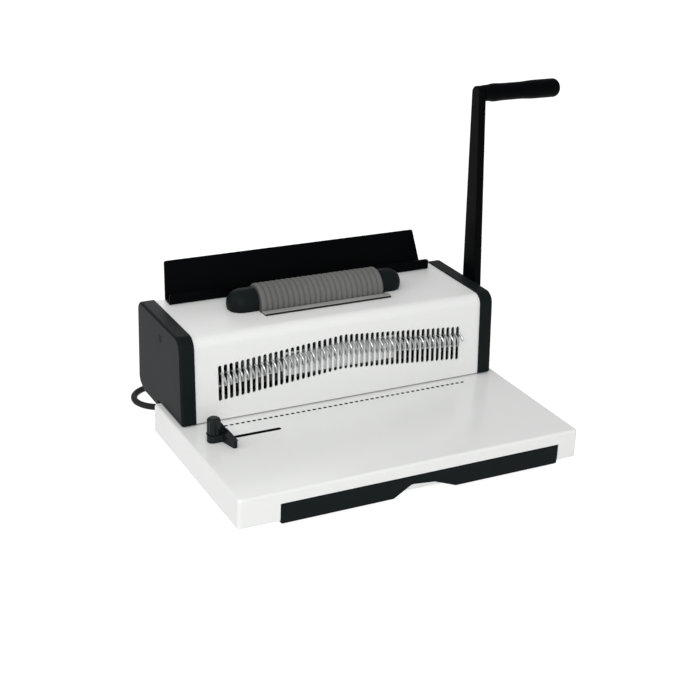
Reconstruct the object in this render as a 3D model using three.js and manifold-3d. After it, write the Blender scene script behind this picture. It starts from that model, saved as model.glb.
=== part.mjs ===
// A desktop coil binding machine, in millimetres, +Z up, front at -Y.
// A hand lever turns a cam shaft, and the cams press 46 pins through the paper. A motor turns the rubber
// roller on top, which spins the coil through the holes. Places are measured from the middle of the row of
// pins (X), the foot of the housing's face (Y) and the ground (Z) until the last lines.
import * as THREE from "three";
import { mergeVertices } from "three/addons/utils/BufferGeometryUtils.js";
import Module from "manifold-3d";

const wasm = await Module();
wasm.setup();

// Driving dimensions: the housing, the row of holes in it and the table that carries it.
const coverWidth = 342;
const holePitch = 6.35;
const rowMargin = 24.8; // from the cover's end to the first hole's share of the row
const tableOverhang = 22; // the table is this much wider than the cover at each end
const tableFront = -163;
const tableRear = 66;
const tableHeight = 40;
const housingDepth = 128;
const housingTop = 133;
const housingBottom = 33;
const faceLeanDegrees = 4;
const capThickness = 16;
const fit = 0.3; // the gap between pieces that seat in one another
const overrun = 5; // how far a cutting solid runs past what it cuts
const weld = 0.0001; // corners nearer than this are one corner

// The base.
const footHeight = 9;
const footDiameter = 20;
const footInset = 30;
const tableWall = 3;
const tableCornerRadius = 5;
const tableEdgeRadius = 3;
const panThickness = 1.5;
const panClearance = 1;
const screwBossDiameter = 12;

// The chip drawer.
const drawerOffset = 11; // the drawer sits this far right of the middle
const drawerLap = 4.5; // the front is this much wider than the tray at each end
const drawerTop = 26.6;
const drawerBottom = 5;
const drawerFrontThickness = 4;
const drawerProud = 0.5;
const drawerGap = 0.5;
const notchWidth = 72;
const notchTopWidth = 30;
const notchHeight = 11;
const trayInset = 38; // the tray is this much shorter than the table at each end
const trayRear = 32;
const trayHeight = 15;
const trayWall = 1.5;
const railWidth = 4;
const railHeight = 9;
const railFront = -150;
const railRear = 60;

// The punch: die below the paper, guide plate above it, pins on a bar.
const holeLine = 11; // the pins' line, behind the face
const holeWidth = 4.8;
const pinWidth = 3.9;
const pinSides = 6;
const paperGap = 2.2;
const dieFront = 3.4;
const dieRear = 22.6;
const dieThickness = 10;
const dieEndGap = 2; // from the die's end to the frame plate
const dieClearance = 0.4;
const guidePlateThickness = 5;
const guidePlateFront = 3;
const guidePlateRear = 25;
const pinRetreat = 0.8; // the pins' tips rest this far inside the guide plate
const punchStroke = 9;
const punchBarHeight = 10;
const punchBarDepth = 12;
const punchBarEndGap = 3;
const punchHeadroom = 0.8; // left between bar and guide plate at the end of the stroke
const pillarDiameter = 8;
const pillarInset = 8; // from the frame plate to the pillar
const pillarHeight = 32;
const pillarGap = 0.4;
const stopClearance = 5.5; // from the pins' line back to the paper stop
const stopDepth = 7.5;

// The cam shaft, its cams and what they press on.
const shaftY = 60;
const shaftZ = 84;
const shaftDiameter = 14;
const camBaseRadius = 6; // an involute of this circle moves a flat follower by radius times angle
const camLift = 12; // from the shaft's centre down to the follower at rest
const camThickness = 8;
const camInset = 44;
const camHubDiameter = 22;
const camSteps = 14;
const camOverTurn = 0.12; // the curve runs on past both ends of the lever's travel, in radians
const armWidth = 24;
const armInset = 50;
const armHeight = 12;
const armReach = 62;
const bushDiameter = 20;
const bushLength = 9;
const shaftStub = 3; // how far the shaft runs past the left frame plate

// The springs that lift the punch bar.
const springDiameter = 8;
const springWire = 1.2;
const springTurns = 5;
const springInset = 58;
const springY = 30;
const hangerDiameter = 8;
const hangerZ = 118;

// The housing.
const sheet = 1.5;
const throatHeight = 2.5;
const faceBendRadius = 12;
const rearBendRadius = 6;
const innerBendRadius = 4;
const floorFront = 67.5;
const plateThickness = 4;
const plateInset = 9; // from the cover's end to the frame plate's inner face
const plateFront = 4;
const plateRear = 123;
const plateTop = 130;
const plateFrontCut = 14;
const plateRearCut = 9;
const capProud = 2;
const capLift = 0.3;
const capWall = 3;
const capEdge = 3;
const capFrontRadius = 12;
const capRearRadius = 9;
const capBottomCut = 15;
const capShaftHole = 22;
const capScrewY = 60;
const capScrewZ = 116;
const capScrewHead = 8;
const capScrewHeadHeight = 1.6;
const capScrewShank = 4;
const capScrewLength = 14;
const capBossDiameter = 10;

// The arched slots in the face.
const slotWidth = 4;
const slotLength = 39;
const slotLowEnd = 22; // up the face from the table to the bottom of the first and last slot
const slotRise = 12.4; // the middle slots sit this much higher
const slotEndSteps = 2;

// The coil that is threaded through the slots.
const coilRadius = 6;
const coilWire = 1.8;
const coilDrop = 13.8; // the coil's axis, below the slots' tops
const coilLean = 0.55; // the wire leans on the slot's edges by this much
const coilSteps = 8;
const coilSides = 5;

// The roller that spins the coil in.
const rollerY = 69.2;
const rollerZ = 137.2;
const rollerRadius = 21;
const rollerGroove = 1.2;
const rollerLength = 146;
const rollerRibs = 23;
const rollerFaces = 16;
const rollerCrestShare = 0.5; // each rib's crest stands half a rib on from its groove
const rollerShaftDiameter = 8;
const rollerShaftReach = 25; // the shaft runs this far past the sleeve at each end
const openingFront = 46.2;
const openingRear = 91;
const lipLap = 3; // the lip is this much longer than the sleeve at each end
const lipFront = 39;
const lipRise = 1.2;
const lipThickness = 1.2;
const lipDepth = 12;
const blockGap = 3.5; // from the sleeve's end to the block
const blockLength = 30; // the left block, with its dome
const blockShortening = 3.5; // the right block is this much shorter
const blockRadius = 15;
const blockZ = 139.5; // the middle of the domed block, a little above its bore
const pulleyRadius = 6;
const pulleyWidth = 6;
const pulleyInset = 11.5; // from the left block's inner face to the pulleys' middle
const beltThickness = 1.2;
const beltWidth = 5;
const pocketRadius = 12.6;
const pocketWidth = 9;
const cradleInset = 5; // the bracket is this much shorter than the sleeve at each end
const cradleFaceY = 12.5;
const cradleFaceBottom = 73;
const cradleFloor = 114.2;
const cradleFlange = 12;
const motorRadius = 17;
const motorY = 89;
const motorLength = 68;
const motorInset = 8; // from the pulleys' middle to the motor
const motorShaftDiameter = 5;

// The rest on the back of the top.
const restInset = 11.5; // the rest is this much shorter than the cover at each end
const restTaper = 6.5; // and its wall's top is shorter again by this
const restGap = 12.5; // from the roller's opening to the front of the rest
const restLipHeight = 12;
const restFloorDepth = 17;
const restWallTop = 170.5;
const restWallLean = 20;
const restThickness = 2.5;

// The lever.
const leverGap = 1.8; // between the right cap and the lever
const hubDiameter = 34;
const hubThickness = 12;
const armThickness = 9;
const armBottomWidth = 28;
const armTopWidth = 16;
const socketWidth = 34;
const socketTop = 36;
const leverLength = 262;
const leverLeanDegrees = 3.8;
const elbowRadius = 7;
const gripDiameter = 21;
const gripLength = 100;
const gripCollarDiameter = 17;
const gripCollarLength = 8;
const gripPinDiameter = 9;

// The side guide on the table.
const guideSlotY = -40;
const guideSlotWidth = 5;
const guideTravel = 72;
const guideInset = 18.6; // from the table's left end to the guide
const guideWidth = 23;
const guideFront = -64;
const guideRear = -34;
const guideFootHeight = 8.2;
const guideNoseWidth = 4.2;
const guideHeelDepth = 12;
const guideHeelRadius = 5;
const guideHeelWidth = 14;
const guideWebReach = 4.4;
const guideWebTop = 58.5;
const guideWebDepth = 5;
const knobInset = 6.9; // from the guide's left end to its knob
const knobDiameter = 14.4;
const knobHeight = 17.6;
const knobCrown = 3;
const knobFlutes = 10;
const knobFluteDepth = 0.6;
const studDiameter = 4.2;
const nutThickness = 3;
const nutWidth = 14;

// The power inlet side.
const switchInset = 51; // from the cover's end to the switch
const switchZ = 80;
const switchWidth = 22;
const switchHeight = 30;
const switchRim = 2.5;
const switchDepth = 14;
const rockerTipDegrees = 8;
const rockerRise = 5;
const rockerDip = 1.4;
const reliefX = -110;
const reliefZ = 21;
const reliefDiameter = 13;
const reliefFlange = 17;
const reliefFlangeThickness = 2.5;
const reliefLength = 14;

// The cord, its coil and its plug.
const cordDiameter = 7;
const cordSides = 8;
const cordSteps = 36;
const cordCoilX = -20;
const cordRearY = 184; // the run along the back and the coil's rear
const cordCoilOuter = 49;
const cordCoilGap = 0.7; // between turns that lie beside or on each other
const cordCoilTurns = 2.5; // turns in each of the two layers
const cordTail = 45; // from the last turn to the plug
const cordLoopSteps = 18;
const cordLoopSides = 6;
const plugDiameter = 37;
const plugLength = 46;
const plugNeck = 12;
const plugShoulder = 12;
const plugPinDiameter = 4.8;
const plugPinLength = 19;
const plugPinSpread = 19;

const faceLean = THREE.MathUtils.degToRad(faceLeanDegrees);
const leverLean = THREE.MathUtils.degToRad(leverLeanDegrees);
const halfCover = coverWidth / 2;
const holeCount = Math.floor((coverWidth - 2 * rowMargin) / holePitch);
const halfRow = ((holeCount - 1) * holePitch) / 2;
const tableWidth = coverWidth + 2 * tableOverhang;
const halfTable = tableWidth / 2;
const trayWidth = tableWidth - 2 * trayInset;
const drawerWidth = trayWidth + 2 * drawerLap;
const plateInner = halfCover - plateInset;
const dieLength = 2 * (plateInner - dieEndGap);
const punchBarLength = 2 * (plateInner - punchBarEndGap);
const pillarSpread = plateInner - pillarInset;
const camSpread = plateInner - camInset;
const armOffset = plateInner - armInset;
const springSpread = plateInner - springInset;
const shaftLeftEnd = plateInner + plateThickness + shaftStub;
const restFront = openingRear + restGap;
const restLength = coverWidth - 2 * restInset;
const restTopLength = restLength - 2 * restTaper;
const guideLeft = -halfTable + guideInset;
const guideRight = guideLeft + guideWidth;
const knobX = guideLeft + knobInset;
const capOuter = halfCover + capThickness;
const deckUnderside = tableHeight - tableWall;
const panTop = footHeight + panThickness;
const guidePlateBottom = tableHeight + paperGap;
const guidePlateTop = guidePlateBottom + guidePlateThickness;
const punchBarBottom = guidePlateTop + punchStroke + punchHeadroom;
const punchBarTop = punchBarBottom + punchBarHeight;
const punchBarFront = holeLine - punchBarDepth / 2;
const punchBarRear = holeLine + punchBarDepth / 2;
const followerTop = shaftZ - camLift;
const leverTravel = punchStroke / camBaseRadius;
const leverInner = capOuter + leverGap;
const rockerPivotY = housingDepth - 2 * fit - sheet;
const lipLength = rollerLength + 2 * lipLap;
const openingLength = lipLength + 2 * fit;
const rollerShaftEnd = rollerLength / 2 + rollerShaftReach;
const blockInner = rollerLength / 2 + blockGap;
const pulleyX = -blockInner - pulleyInset;
const cradleLength = rollerLength - 2 * cradleInset;
const motorStart = pulleyX + motorInset;
const switchX = halfCover - switchInset;

// Where the hole or pin number index stands along the row.
function rowX(index) {
  return index * holePitch - halfRow;
}

// A height up the leaning face becomes a place in Y and Z; behind is measured from the sheet's middle.
function facePoint(up, behind) {
  const depth = behind + sheet / 2;
  return {
    y: up * Math.sin(faceLean) + depth * Math.cos(faceLean),
    z: tableHeight + up * Math.cos(faceLean) - depth * Math.sin(faceLean),
  };
}

// Moves a geometry and gives it back.
function moved(geometry, x, y, z) {
  return geometry.translate(x, y, z);
}

// A closed geometry as a solid that can be cut and joined.
function solid(geometry) {
  const bare = new THREE.BufferGeometry();
  bare.setAttribute("position", geometry.getAttribute("position").clone());
  bare.setIndex(geometry.getIndex());
  const welded = mergeVertices(bare, weld);
  return new wasm.Manifold(
    new wasm.Mesh({
      numProp: 3,
      vertProperties: welded.getAttribute("position").array,
      triVerts: new Uint32Array(welded.getIndex().array),
    }),
  );
}

// A solid as a geometry again.
function geometryOf(body) {
  const mesh = body.getMesh();
  const flat = new THREE.BufferGeometry();
  flat.setAttribute("position", new THREE.BufferAttribute(mesh.vertProperties, 3));
  flat.setIndex(new THREE.BufferAttribute(mesh.triVerts, 1));
  flat.computeVertexNormals();
  return flat;
}

// A box from its lowest to its highest corner.
function block(x0, x1, y0, y1, z0, z1) {
  const geometry = new THREE.BoxGeometry(x1 - x0, y1 - y0, z1 - z0);
  return moved(geometry, (x0 + x1) / 2, (y0 + y1) / 2, (z0 + z1) / 2);
}

// A round bar along X, Y or Z, from its start to its end on that axis.
function rod(axis, radius, start, end, across, up, sides = 18) {
  const geometry = new THREE.CylinderGeometry(radius, radius, end - start, sides);
  const middle = (start + end) / 2;
  if (axis === "x") {
    geometry.rotateZ(-Math.PI / 2);
    return moved(geometry, middle, across, up);
  }
  if (axis === "y") {
    return moved(geometry, across, middle, up);
  }
  geometry.rotateX(Math.PI / 2);
  return moved(geometry, across, up, middle);
}

// Corner points [a, b, radius] as one outline with its corners rounded.
function roundedOutline(corners, steps = 5) {
  const points = [];
  corners.forEach(([a, b, radius = 0], index) => {
    const corner = new THREE.Vector2(a, b);
    const before = new THREE.Vector2(...corners.at(index - 1).slice(0, 2)).sub(corner).normalize();
    const after = new THREE.Vector2(...corners[(index + 1) % corners.length].slice(0, 2)).sub(corner).normalize();
    if (radius === 0) {
      points.push(corner);
      return;
    }
    const half = Math.acos(THREE.MathUtils.clamp(before.dot(after), -1, 1)) / 2;
    const middle = before.clone().add(after).normalize();
    const centre = corner.clone().addScaledVector(middle, radius / Math.sin(half));
    const first = corner.clone().addScaledVector(before, radius / Math.tan(half)).sub(centre);
    const last = corner.clone().addScaledVector(after, radius / Math.tan(half)).sub(centre);
    const sweep = Math.atan2(first.cross(last), first.dot(last));
    for (let step = 0; step <= steps; step += 1) {
      const point = first.clone().rotateAround(new THREE.Vector2(), (sweep * step) / steps);
      points.push(point.add(centre));
    }
  });
  return points;
}

// An outline in Y and Z, extruded along X.
function extrudeX(points, x0, x1, holes = []) {
  const shape = new THREE.Shape(points);
  shape.holes = holes.map((hole) => new THREE.Path(hole));
  const geometry = new THREE.ExtrudeGeometry(shape, { depth: x1 - x0, bevelEnabled: false });
  const turn = new THREE.Matrix4().set(0, 0, 1, x0, 1, 0, 0, 0, 0, 1, 0, 0, 0, 0, 0, 1);
  return geometry.applyMatrix4(turn);
}

// An outline in X and Z, extruded along Y.
function extrudeY(points, y0, y1) {
  const geometry = new THREE.ExtrudeGeometry(new THREE.Shape(points), { depth: y1 - y0, bevelEnabled: false });
  const turn = new THREE.Matrix4().set(1, 0, 0, 0, 0, 0, -1, y1, 0, 1, 0, 0, 0, 0, 0, 1);
  return geometry.applyMatrix4(turn);
}

// An outline in X and Y, extruded along Z.
function extrudeZ(points, z0, z1, holes = []) {
  const shape = new THREE.Shape(points);
  shape.holes = holes.map((hole) => new THREE.Path(hole));
  const geometry = new THREE.ExtrudeGeometry(shape, { depth: z1 - z0, bevelEnabled: false });
  return moved(geometry, 0, 0, z0);
}

// A circle or polygon as a list of points.
function ring(centreA, centreB, radius, sides) {
  const points = [];
  for (let side = 0; side < sides; side += 1) {
    const angle = (2 * Math.PI * side) / sides;
    points.push(new THREE.Vector2(centreA + radius * Math.cos(angle), centreB + radius * Math.sin(angle)));
  }
  return points;
}

// An open line of points in Y and Z as a bent strip of the given thickness, to the left of its way.
function strip(line, thickness) {
  const far = line.map((point, index) => {
    const back = line[Math.max(index - 1, 0)];
    const on = line[Math.min(index + 1, line.length - 1)];
    const before = index > 0 ? point.clone().sub(back).normalize() : on.clone().sub(point).normalize();
    const after = index < line.length - 1 ? on.clone().sub(point).normalize() : before.clone();
    const normal = new THREE.Vector2(-before.y - after.y, before.x + after.x).normalize();
    const share = normal.dot(new THREE.Vector2(-before.y, before.x));
    return point.clone().addScaledVector(normal, thickness / share);
  });
  return [...line, ...far.reverse()];
}

// A wound tube through a list of points, closed by flat ends.
function tube(points, radius, sides) {
  const position = [];
  const index = [];
  let across = null;
  points.forEach((point, at) => {
    const back = points[Math.max(at - 1, 0)];
    const on = points[Math.min(at + 1, points.length - 1)];
    const way = on.clone().sub(back).normalize();
    if (across === null) {
      across = Math.abs(way.z) > 0.9 ? new THREE.Vector3(1, 0, 0) : new THREE.Vector3(0, 0, 1);
    }
    across.addScaledVector(way, -across.dot(way)).normalize();
    const up = way.clone().cross(across);
    for (let side = 0; side < sides; side += 1) {
      const angle = (2 * Math.PI * side) / sides;
      const spot = point.clone();
      spot.addScaledVector(across, radius * Math.cos(angle));
      spot.addScaledVector(up, radius * Math.sin(angle));
      position.push(spot.x, spot.y, spot.z);
    }
  });
  for (let at = 0; at < points.length - 1; at += 1) {
    for (let side = 0; side < sides; side += 1) {
      const a = at * sides + side;
      const b = at * sides + ((side + 1) % sides);
      index.push(a, b, a + sides, b, b + sides, a + sides);
    }
  }
  const last = (points.length - 1) * sides;
  for (let side = 1; side < sides - 1; side += 1) {
    index.push(0, side + 1, side);
    index.push(last, last + side, last + side + 1);
  }
  const geometry = new THREE.BufferGeometry();
  geometry.setAttribute("position", new THREE.Float32BufferAttribute(position, 3));
  geometry.setIndex(index);
  geometry.computeVertexNormals();
  return geometry;
}

// The least gap between the windings of a tube, left out where points are near along it.
function leastGap(points, diameter, apart) {
  let least = Infinity;
  points.forEach((point, first) => {
    for (let second = first + apart; second < points.length; second += 1) {
      least = Math.min(least, point.distanceTo(points[second]) - diameter);
    }
  });
  return least;
}

// Finishes.
function finish(colour, roughness, metalness) {
  return new THREE.MeshStandardMaterial({ color: colour, roughness, metalness });
}
const whitePlastic = finish(0xe9ebea, 0.25, 0);
const whitePaint = finish(0xeceeed, 0.35, 0);
const blackPlastic = finish(0x1c1f20, 0.5, 0);
const blackPaint = finish(0x0d0e0f, 0.4, 0);
const rubber = finish(0x6e6a64, 0.8, 0);
const softRubber = finish(0x202020, 0.9, 0);
const steel = finish(0xb9bcbd, 0.35, 1);
const darkSteel = finish(0x2a2b2d, 0.5, 1);
const brass = finish(0xb08d4a, 0.4, 1);

const machine = new THREE.Group();
const cord = new THREE.Group();

function add(group, name, shape, material) {
  const geometry = shape.isBufferGeometry ? shape : geometryOf(shape);
  const mesh = new THREE.Mesh(geometry, material);
  mesh.name = name;
  group.add(mesh);
  return mesh;
}

// A flat box with round upright corners and a round upper edge.
function tableBlock(width, front, rear, bottom, top, corner, edge) {
  const halfWidth = width / 2 - edge;
  const outline = roundedOutline([
    [-halfWidth, front + edge, corner - edge],
    [halfWidth, front + edge, corner - edge],
    [halfWidth, rear - edge, corner - edge],
    [-halfWidth, rear - edge, corner - edge],
  ], 4);
  const geometry = new THREE.ExtrudeGeometry(new THREE.Shape(outline), {
    depth: top - bottom,
    bevelThickness: edge,
    bevelSize: edge,
    bevelSegments: 2,
  });
  moved(geometry, 0, 0, bottom - edge);
  const room = block(-width, width, front - overrun, rear + overrun, bottom, top + overrun);
  return solid(geometry).intersect(solid(room));
}

// The moulded base: a hollow table with openings for the drawer, the die and the side guide.
function tableShell() {
  const inner = roundedOutline([
    [-halfTable + tableWall, tableFront + tableWall, tableCornerRadius - tableWall],
    [halfTable - tableWall, tableFront + tableWall, tableCornerRadius - tableWall],
    [halfTable - tableWall, tableRear - tableWall, tableCornerRadius - tableWall],
    [-halfTable + tableWall, tableRear - tableWall, tableCornerRadius - tableWall],
  ], 3);
  const mouthHalf = drawerWidth / 2 + drawerGap;
  const mouth = block(
    drawerOffset - mouthHalf,
    drawerOffset + mouthHalf,
    tableFront - overrun,
    tableFront + tableWall + overrun,
    footHeight - overrun,
    drawerTop + drawerGap,
  );
  const dieRoom = block(
    -dieLength / 2 - dieClearance,
    dieLength / 2 + dieClearance,
    dieFront - dieClearance,
    dieRear + dieClearance,
    deckUnderside - overrun,
    tableHeight + overrun,
  );
  const slotHalf = guideSlotWidth / 2;
  const slotStart = knobX - slotHalf - fit;
  const slotEnd = knobX + guideTravel + slotHalf + fit;
  const slotCorner = slotHalf - fit;
  const slot = extrudeZ(
    roundedOutline([
      [slotStart, guideSlotY - slotHalf, slotCorner],
      [slotEnd, guideSlotY - slotHalf, slotCorner],
      [slotEnd, guideSlotY + slotHalf, slotCorner],
      [slotStart, guideSlotY + slotHalf, slotCorner],
    ], 2),
    deckUnderside - overrun,
    tableHeight + overrun,
  );
  const wallInside = tableRear - tableWall;
  const reliefHole = rod("y", reliefDiameter / 2, wallInside - overrun, tableRear + overrun, reliefX, reliefZ);
  let shell = tableBlock(
    tableWidth,
    tableFront,
    tableRear,
    footHeight,
    tableHeight,
    tableCornerRadius,
    tableEdgeRadius,
  );
  shell = shell.subtract(solid(extrudeZ(inner, footHeight - overrun, deckUnderside)));
  for (const side of [-1, 1]) {
    for (const y of [tableFront + footInset, tableRear - footInset]) {
      const x = side * (halfTable - screwBossDiameter);
      const boss = rod("z", screwBossDiameter / 2, panTop + fit, tableHeight - tableWall / 2, x, y, 8);
      shell = shell.add(solid(boss));
    }
  }
  return shell.subtract(solid(mouth)).subtract(solid(dieRoom)).subtract(solid(slot)).subtract(solid(reliefHole));
}

function pan() {
  const inset = tableWall + panClearance;
  return extrudeZ(
    roundedOutline([
      [-halfTable + inset, tableFront + inset, tableCornerRadius - inset],
      [halfTable - inset, tableFront + inset, tableCornerRadius - inset],
      [halfTable - inset, tableRear - inset, tableCornerRadius - inset],
      [-halfTable + inset, tableRear - inset, tableCornerRadius - inset],
    ], 3),
    footHeight,
    panTop,
  );
}

add(machine, "base_shell", tableShell(), whitePlastic);
add(machine, "base_pan", pan(), darkSteel);

for (const [across, sideName] of [[-1, "left"], [1, "right"]]) {
  for (const [y, endName] of [[tableFront + footInset, "front"], [tableRear - footInset, "rear"]]) {
    const x = across * (halfTable - footInset);
    const foot = new THREE.CylinderGeometry(footDiameter / 2, footDiameter / 2 - sheet, footHeight, 16);
    foot.rotateX(Math.PI / 2);
    add(machine, `foot_${endName}_${sideName}`, moved(foot, x, y, footHeight / 2), softRubber);
  }
}

// The drawer: a steel tray behind a moulded front with a finger notch in its lower edge.
function drawerFront() {
  const left = drawerOffset - drawerWidth / 2;
  const right = drawerOffset + drawerWidth / 2;
  const round = drawerFrontThickness / 2;
  const outline = roundedOutline([
    [left, drawerBottom, round],
    [drawerOffset - notchWidth / 2, drawerBottom, round],
    [drawerOffset - notchTopWidth / 2, drawerBottom + notchHeight, notchHeight],
    [drawerOffset + notchTopWidth / 2, drawerBottom + notchHeight, notchHeight],
    [drawerOffset + notchWidth / 2, drawerBottom, round],
    [right, drawerBottom, round],
    [right, drawerTop, round],
    [left, drawerTop, round],
  ], 4);
  const outer = tableFront - drawerProud;
  return extrudeY(outline, outer, outer + drawerFrontThickness);
}

// The tray is a flat sheet with four strips set up on its edges.
const trayLeft = drawerOffset - trayWidth / 2;
const trayRight = drawerOffset + trayWidth / 2;
const trayFront = tableFront - drawerProud + drawerFrontThickness;
const trayBottom = panTop + drawerGap;
const trayFloor = trayBottom + trayWall;
const trayTop = trayBottom + trayHeight;
const trayInnerFront = trayFront + trayWall;
const trayInnerRear = trayRear - trayWall;

function trayEndWall(front) {
  return block(trayLeft, trayRight, front, front + trayWall, trayFloor, trayTop);
}

function traySideWall(left) {
  return block(left, left + trayWall, trayInnerFront, trayInnerRear, trayFloor, trayTop);
}

add(machine, "drawer_front", drawerFront(), blackPlastic);
add(machine, "chip_tray", block(trayLeft, trayRight, trayFront, trayRear, trayBottom, trayFloor), steel);
add(machine, "tray_wall_front", trayEndWall(trayFront), steel);
add(machine, "tray_wall_rear", trayEndWall(trayInnerRear), steel);
add(machine, "tray_wall_left", traySideWall(trayLeft), steel);
add(machine, "tray_wall_right", traySideWall(trayRight - trayWall), steel);

for (const [side, name] of [[-1, "left"], [1, "right"]]) {
  const inner = drawerOffset + side * (trayWidth / 2 + drawerGap);
  const outer = inner + side * railWidth;
  const left = Math.min(inner, outer);
  const right = Math.max(inner, outer);
  const rail = block(left, right, railFront, railRear, panTop, panTop + railHeight);
  add(machine, `drawer_rail_${name}`, rail, blackPlastic);
}

// Plates with one hole for each pin.
function drilledPlate(length, front, rear, bottom, top) {
  const holes = [];
  for (let index = 0; index < holeCount; index += 1) {
    holes.push(ring(rowX(index), holeLine, holeWidth / 2, pinSides));
  }
  const outline = [
    new THREE.Vector2(-length / 2, front),
    new THREE.Vector2(length / 2, front),
    new THREE.Vector2(length / 2, rear),
    new THREE.Vector2(-length / 2, rear),
  ];
  return extrudeZ(outline, bottom, top, holes);
}

const guidePlateLength = 2 * (plateInner - fit);
add(
  machine,
  "die_plate",
  drilledPlate(dieLength, dieFront, dieRear, tableHeight - dieThickness, tableHeight),
  steel,
);
add(
  machine,
  "guide_plate",
  drilledPlate(guidePlateLength, guidePlateFront, guidePlateRear, guidePlateBottom, guidePlateTop),
  darkSteel,
);
const stopFront = holeLine + stopClearance;
const stopRear = stopFront + stopDepth;
add(
  machine,
  "paper_stop",
  block(-guidePlateLength / 2, guidePlateLength / 2, stopFront, stopRear, tableHeight, guidePlateBottom),
  steel,
);

// The punch bar with its pins and the two arms that the cams press on.
function punchBar() {
  const halfLength = punchBarLength / 2;
  let bar = solid(block(-halfLength, halfLength, punchBarFront, punchBarRear, punchBarBottom, punchBarTop));
  for (const side of [-1, 1]) {
    const near = side * (armOffset - armWidth / 2);
    const far = side * (armOffset + armWidth / 2);
    const arm = block(
      Math.min(near, far),
      Math.max(near, far),
      punchBarRear - overrun,
      armReach,
      followerTop - armHeight,
      followerTop,
    );
    bar = bar.add(solid(arm));
    const bore = rod(
      "z",
      pillarDiameter / 2 + pillarGap,
      punchBarBottom - overrun,
      punchBarTop + overrun,
      side * pillarSpread,
      holeLine,
      12,
    );
    bar = bar.subtract(solid(bore));
  }
  for (let index = 0; index < holeCount; index += 1) {
    const pin = new THREE.ExtrudeGeometry(new THREE.Shape(ring(0, 0, pinWidth / 2, pinSides)), {
      depth: punchBarBottom + overrun - guidePlateBottom - pinRetreat,
      bevelEnabled: false,
    });
    bar = bar.add(solid(moved(pin, rowX(index), holeLine, guidePlateBottom + pinRetreat)));
  }
  return bar;
}
add(machine, "punch_bar", punchBar(), darkSteel);

for (const [side, name] of [[-1, "left"], [1, "right"]]) {
  const top = guidePlateTop + pillarHeight;
  const pillar = rod("z", pillarDiameter / 2, guidePlateTop, top, side * pillarSpread, holeLine, 16);
  add(machine, `guide_pillar_${name}`, pillar, steel);
}

// The cam shaft with its two cams. The cam's working edge is an involute.
function camOutline() {
  const points = [];
  const first = -camOverTurn;
  const last = leverTravel + camOverTurn;
  for (let step = 0; step <= camSteps; step += 1) {
    const turn = first + ((last - first) * step) / camSteps;
    const reach = camLift + camBaseRadius * turn;
    points.push(
      new THREE.Vector2(
        shaftY - camBaseRadius * Math.cos(turn) - reach * Math.sin(turn),
        shaftZ + camBaseRadius * Math.sin(turn) - reach * Math.cos(turn),
      ),
    );
  }
  return points;
}

function cam(side) {
  const outline = camOutline();
  const hub = ring(shaftY, shaftZ, camHubDiameter / 2, 20);
  const nose = outline.at(-1);
  const heel = outline[0];
  const tip = new THREE.Vector2(nose.x + sheet, nose.y + sheet);
  const away = new THREE.Vector2(shaftY, shaftZ + camHubDiameter / 2);
  const body = [...outline, tip, away, new THREE.Vector2(shaftY, heel.y)];
  const near = side * camSpread - camThickness / 2;
  let shape = solid(extrudeX(body.reverse(), near, near + camThickness));
  shape = shape.add(solid(extrudeX(trimmedHub(hub), near, near + camThickness)));
  const bore = rod("x", shaftDiameter / 2 + fit, near - overrun, near + camThickness + overrun, shaftY, shaftZ);
  return shape.subtract(solid(bore));
}

// The hub stays above the follower: it is cut flat where the cam's curve begins.
function trimmedHub(points) {
  const floor = followerTop + 2 * fit;
  return points.map((point) => new THREE.Vector2(point.x, Math.max(point.y, floor)));
}

const hubInner = leverInner;
const hubOuter = leverInner + hubThickness;
add(
  machine,
  "cam_shaft",
  rod("x", shaftDiameter / 2, -shaftLeftEnd, hubOuter - sheet, shaftY, shaftZ, 24),
  steel,
);
add(machine, "left_cam", cam(-1), darkSteel);
add(machine, "right_cam", cam(1), darkSteel);

for (const [side, name] of [[-1, "left"], [1, "right"]]) {
  const middle = side * (plateInner + plateThickness / 2);
  const start = middle - bushLength / 2;
  const end = middle + bushLength / 2;
  const outer = solid(rod("x", bushDiameter / 2, start, end, shaftY, shaftZ, 16));
  const bore = rod("x", shaftDiameter / 2 + fit, start - overrun, end + overrun, shaftY, shaftZ, 16);
  add(machine, `${name}_bush`, outer.subtract(solid(bore)), brass);
}

// The side frames that carry the shaft.
function framePlate(side) {
  const outline = roundedOutline([
    [plateFront, tableHeight],
    [plateRear, tableHeight],
    [plateRear, plateTop - plateRearCut],
    [plateRear - plateRearCut, plateTop],
    [plateFront + plateFrontCut + plateRearCut, plateTop],
    [plateFront + plateRearCut - sheet, plateTop - plateFrontCut],
  ]);
  const start = side > 0 ? plateInner : -plateInner - plateThickness;
  const plate = solid(extrudeX(outline, start, start + plateThickness));
  const bore = rod("x", bushDiameter / 2 + fit, start - overrun, start + plateThickness + overrun, shaftY, shaftZ);
  const screwHole = rod(
    "x",
    capScrewShank / 2 + fit,
    start - overrun,
    start + plateThickness + overrun,
    capScrewY,
    capScrewZ,
    12,
  );
  return plate.subtract(solid(bore)).subtract(solid(screwHole));
}
add(machine, "left_frame_plate", framePlate(-1), steel);
add(machine, "right_frame_plate", framePlate(1), steel);

const hangerEnd = plateInner - fit;
add(machine, "spring_hanger", rod("x", hangerDiameter / 2, -hangerEnd, hangerEnd, springY, hangerZ, 16), steel);

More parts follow.
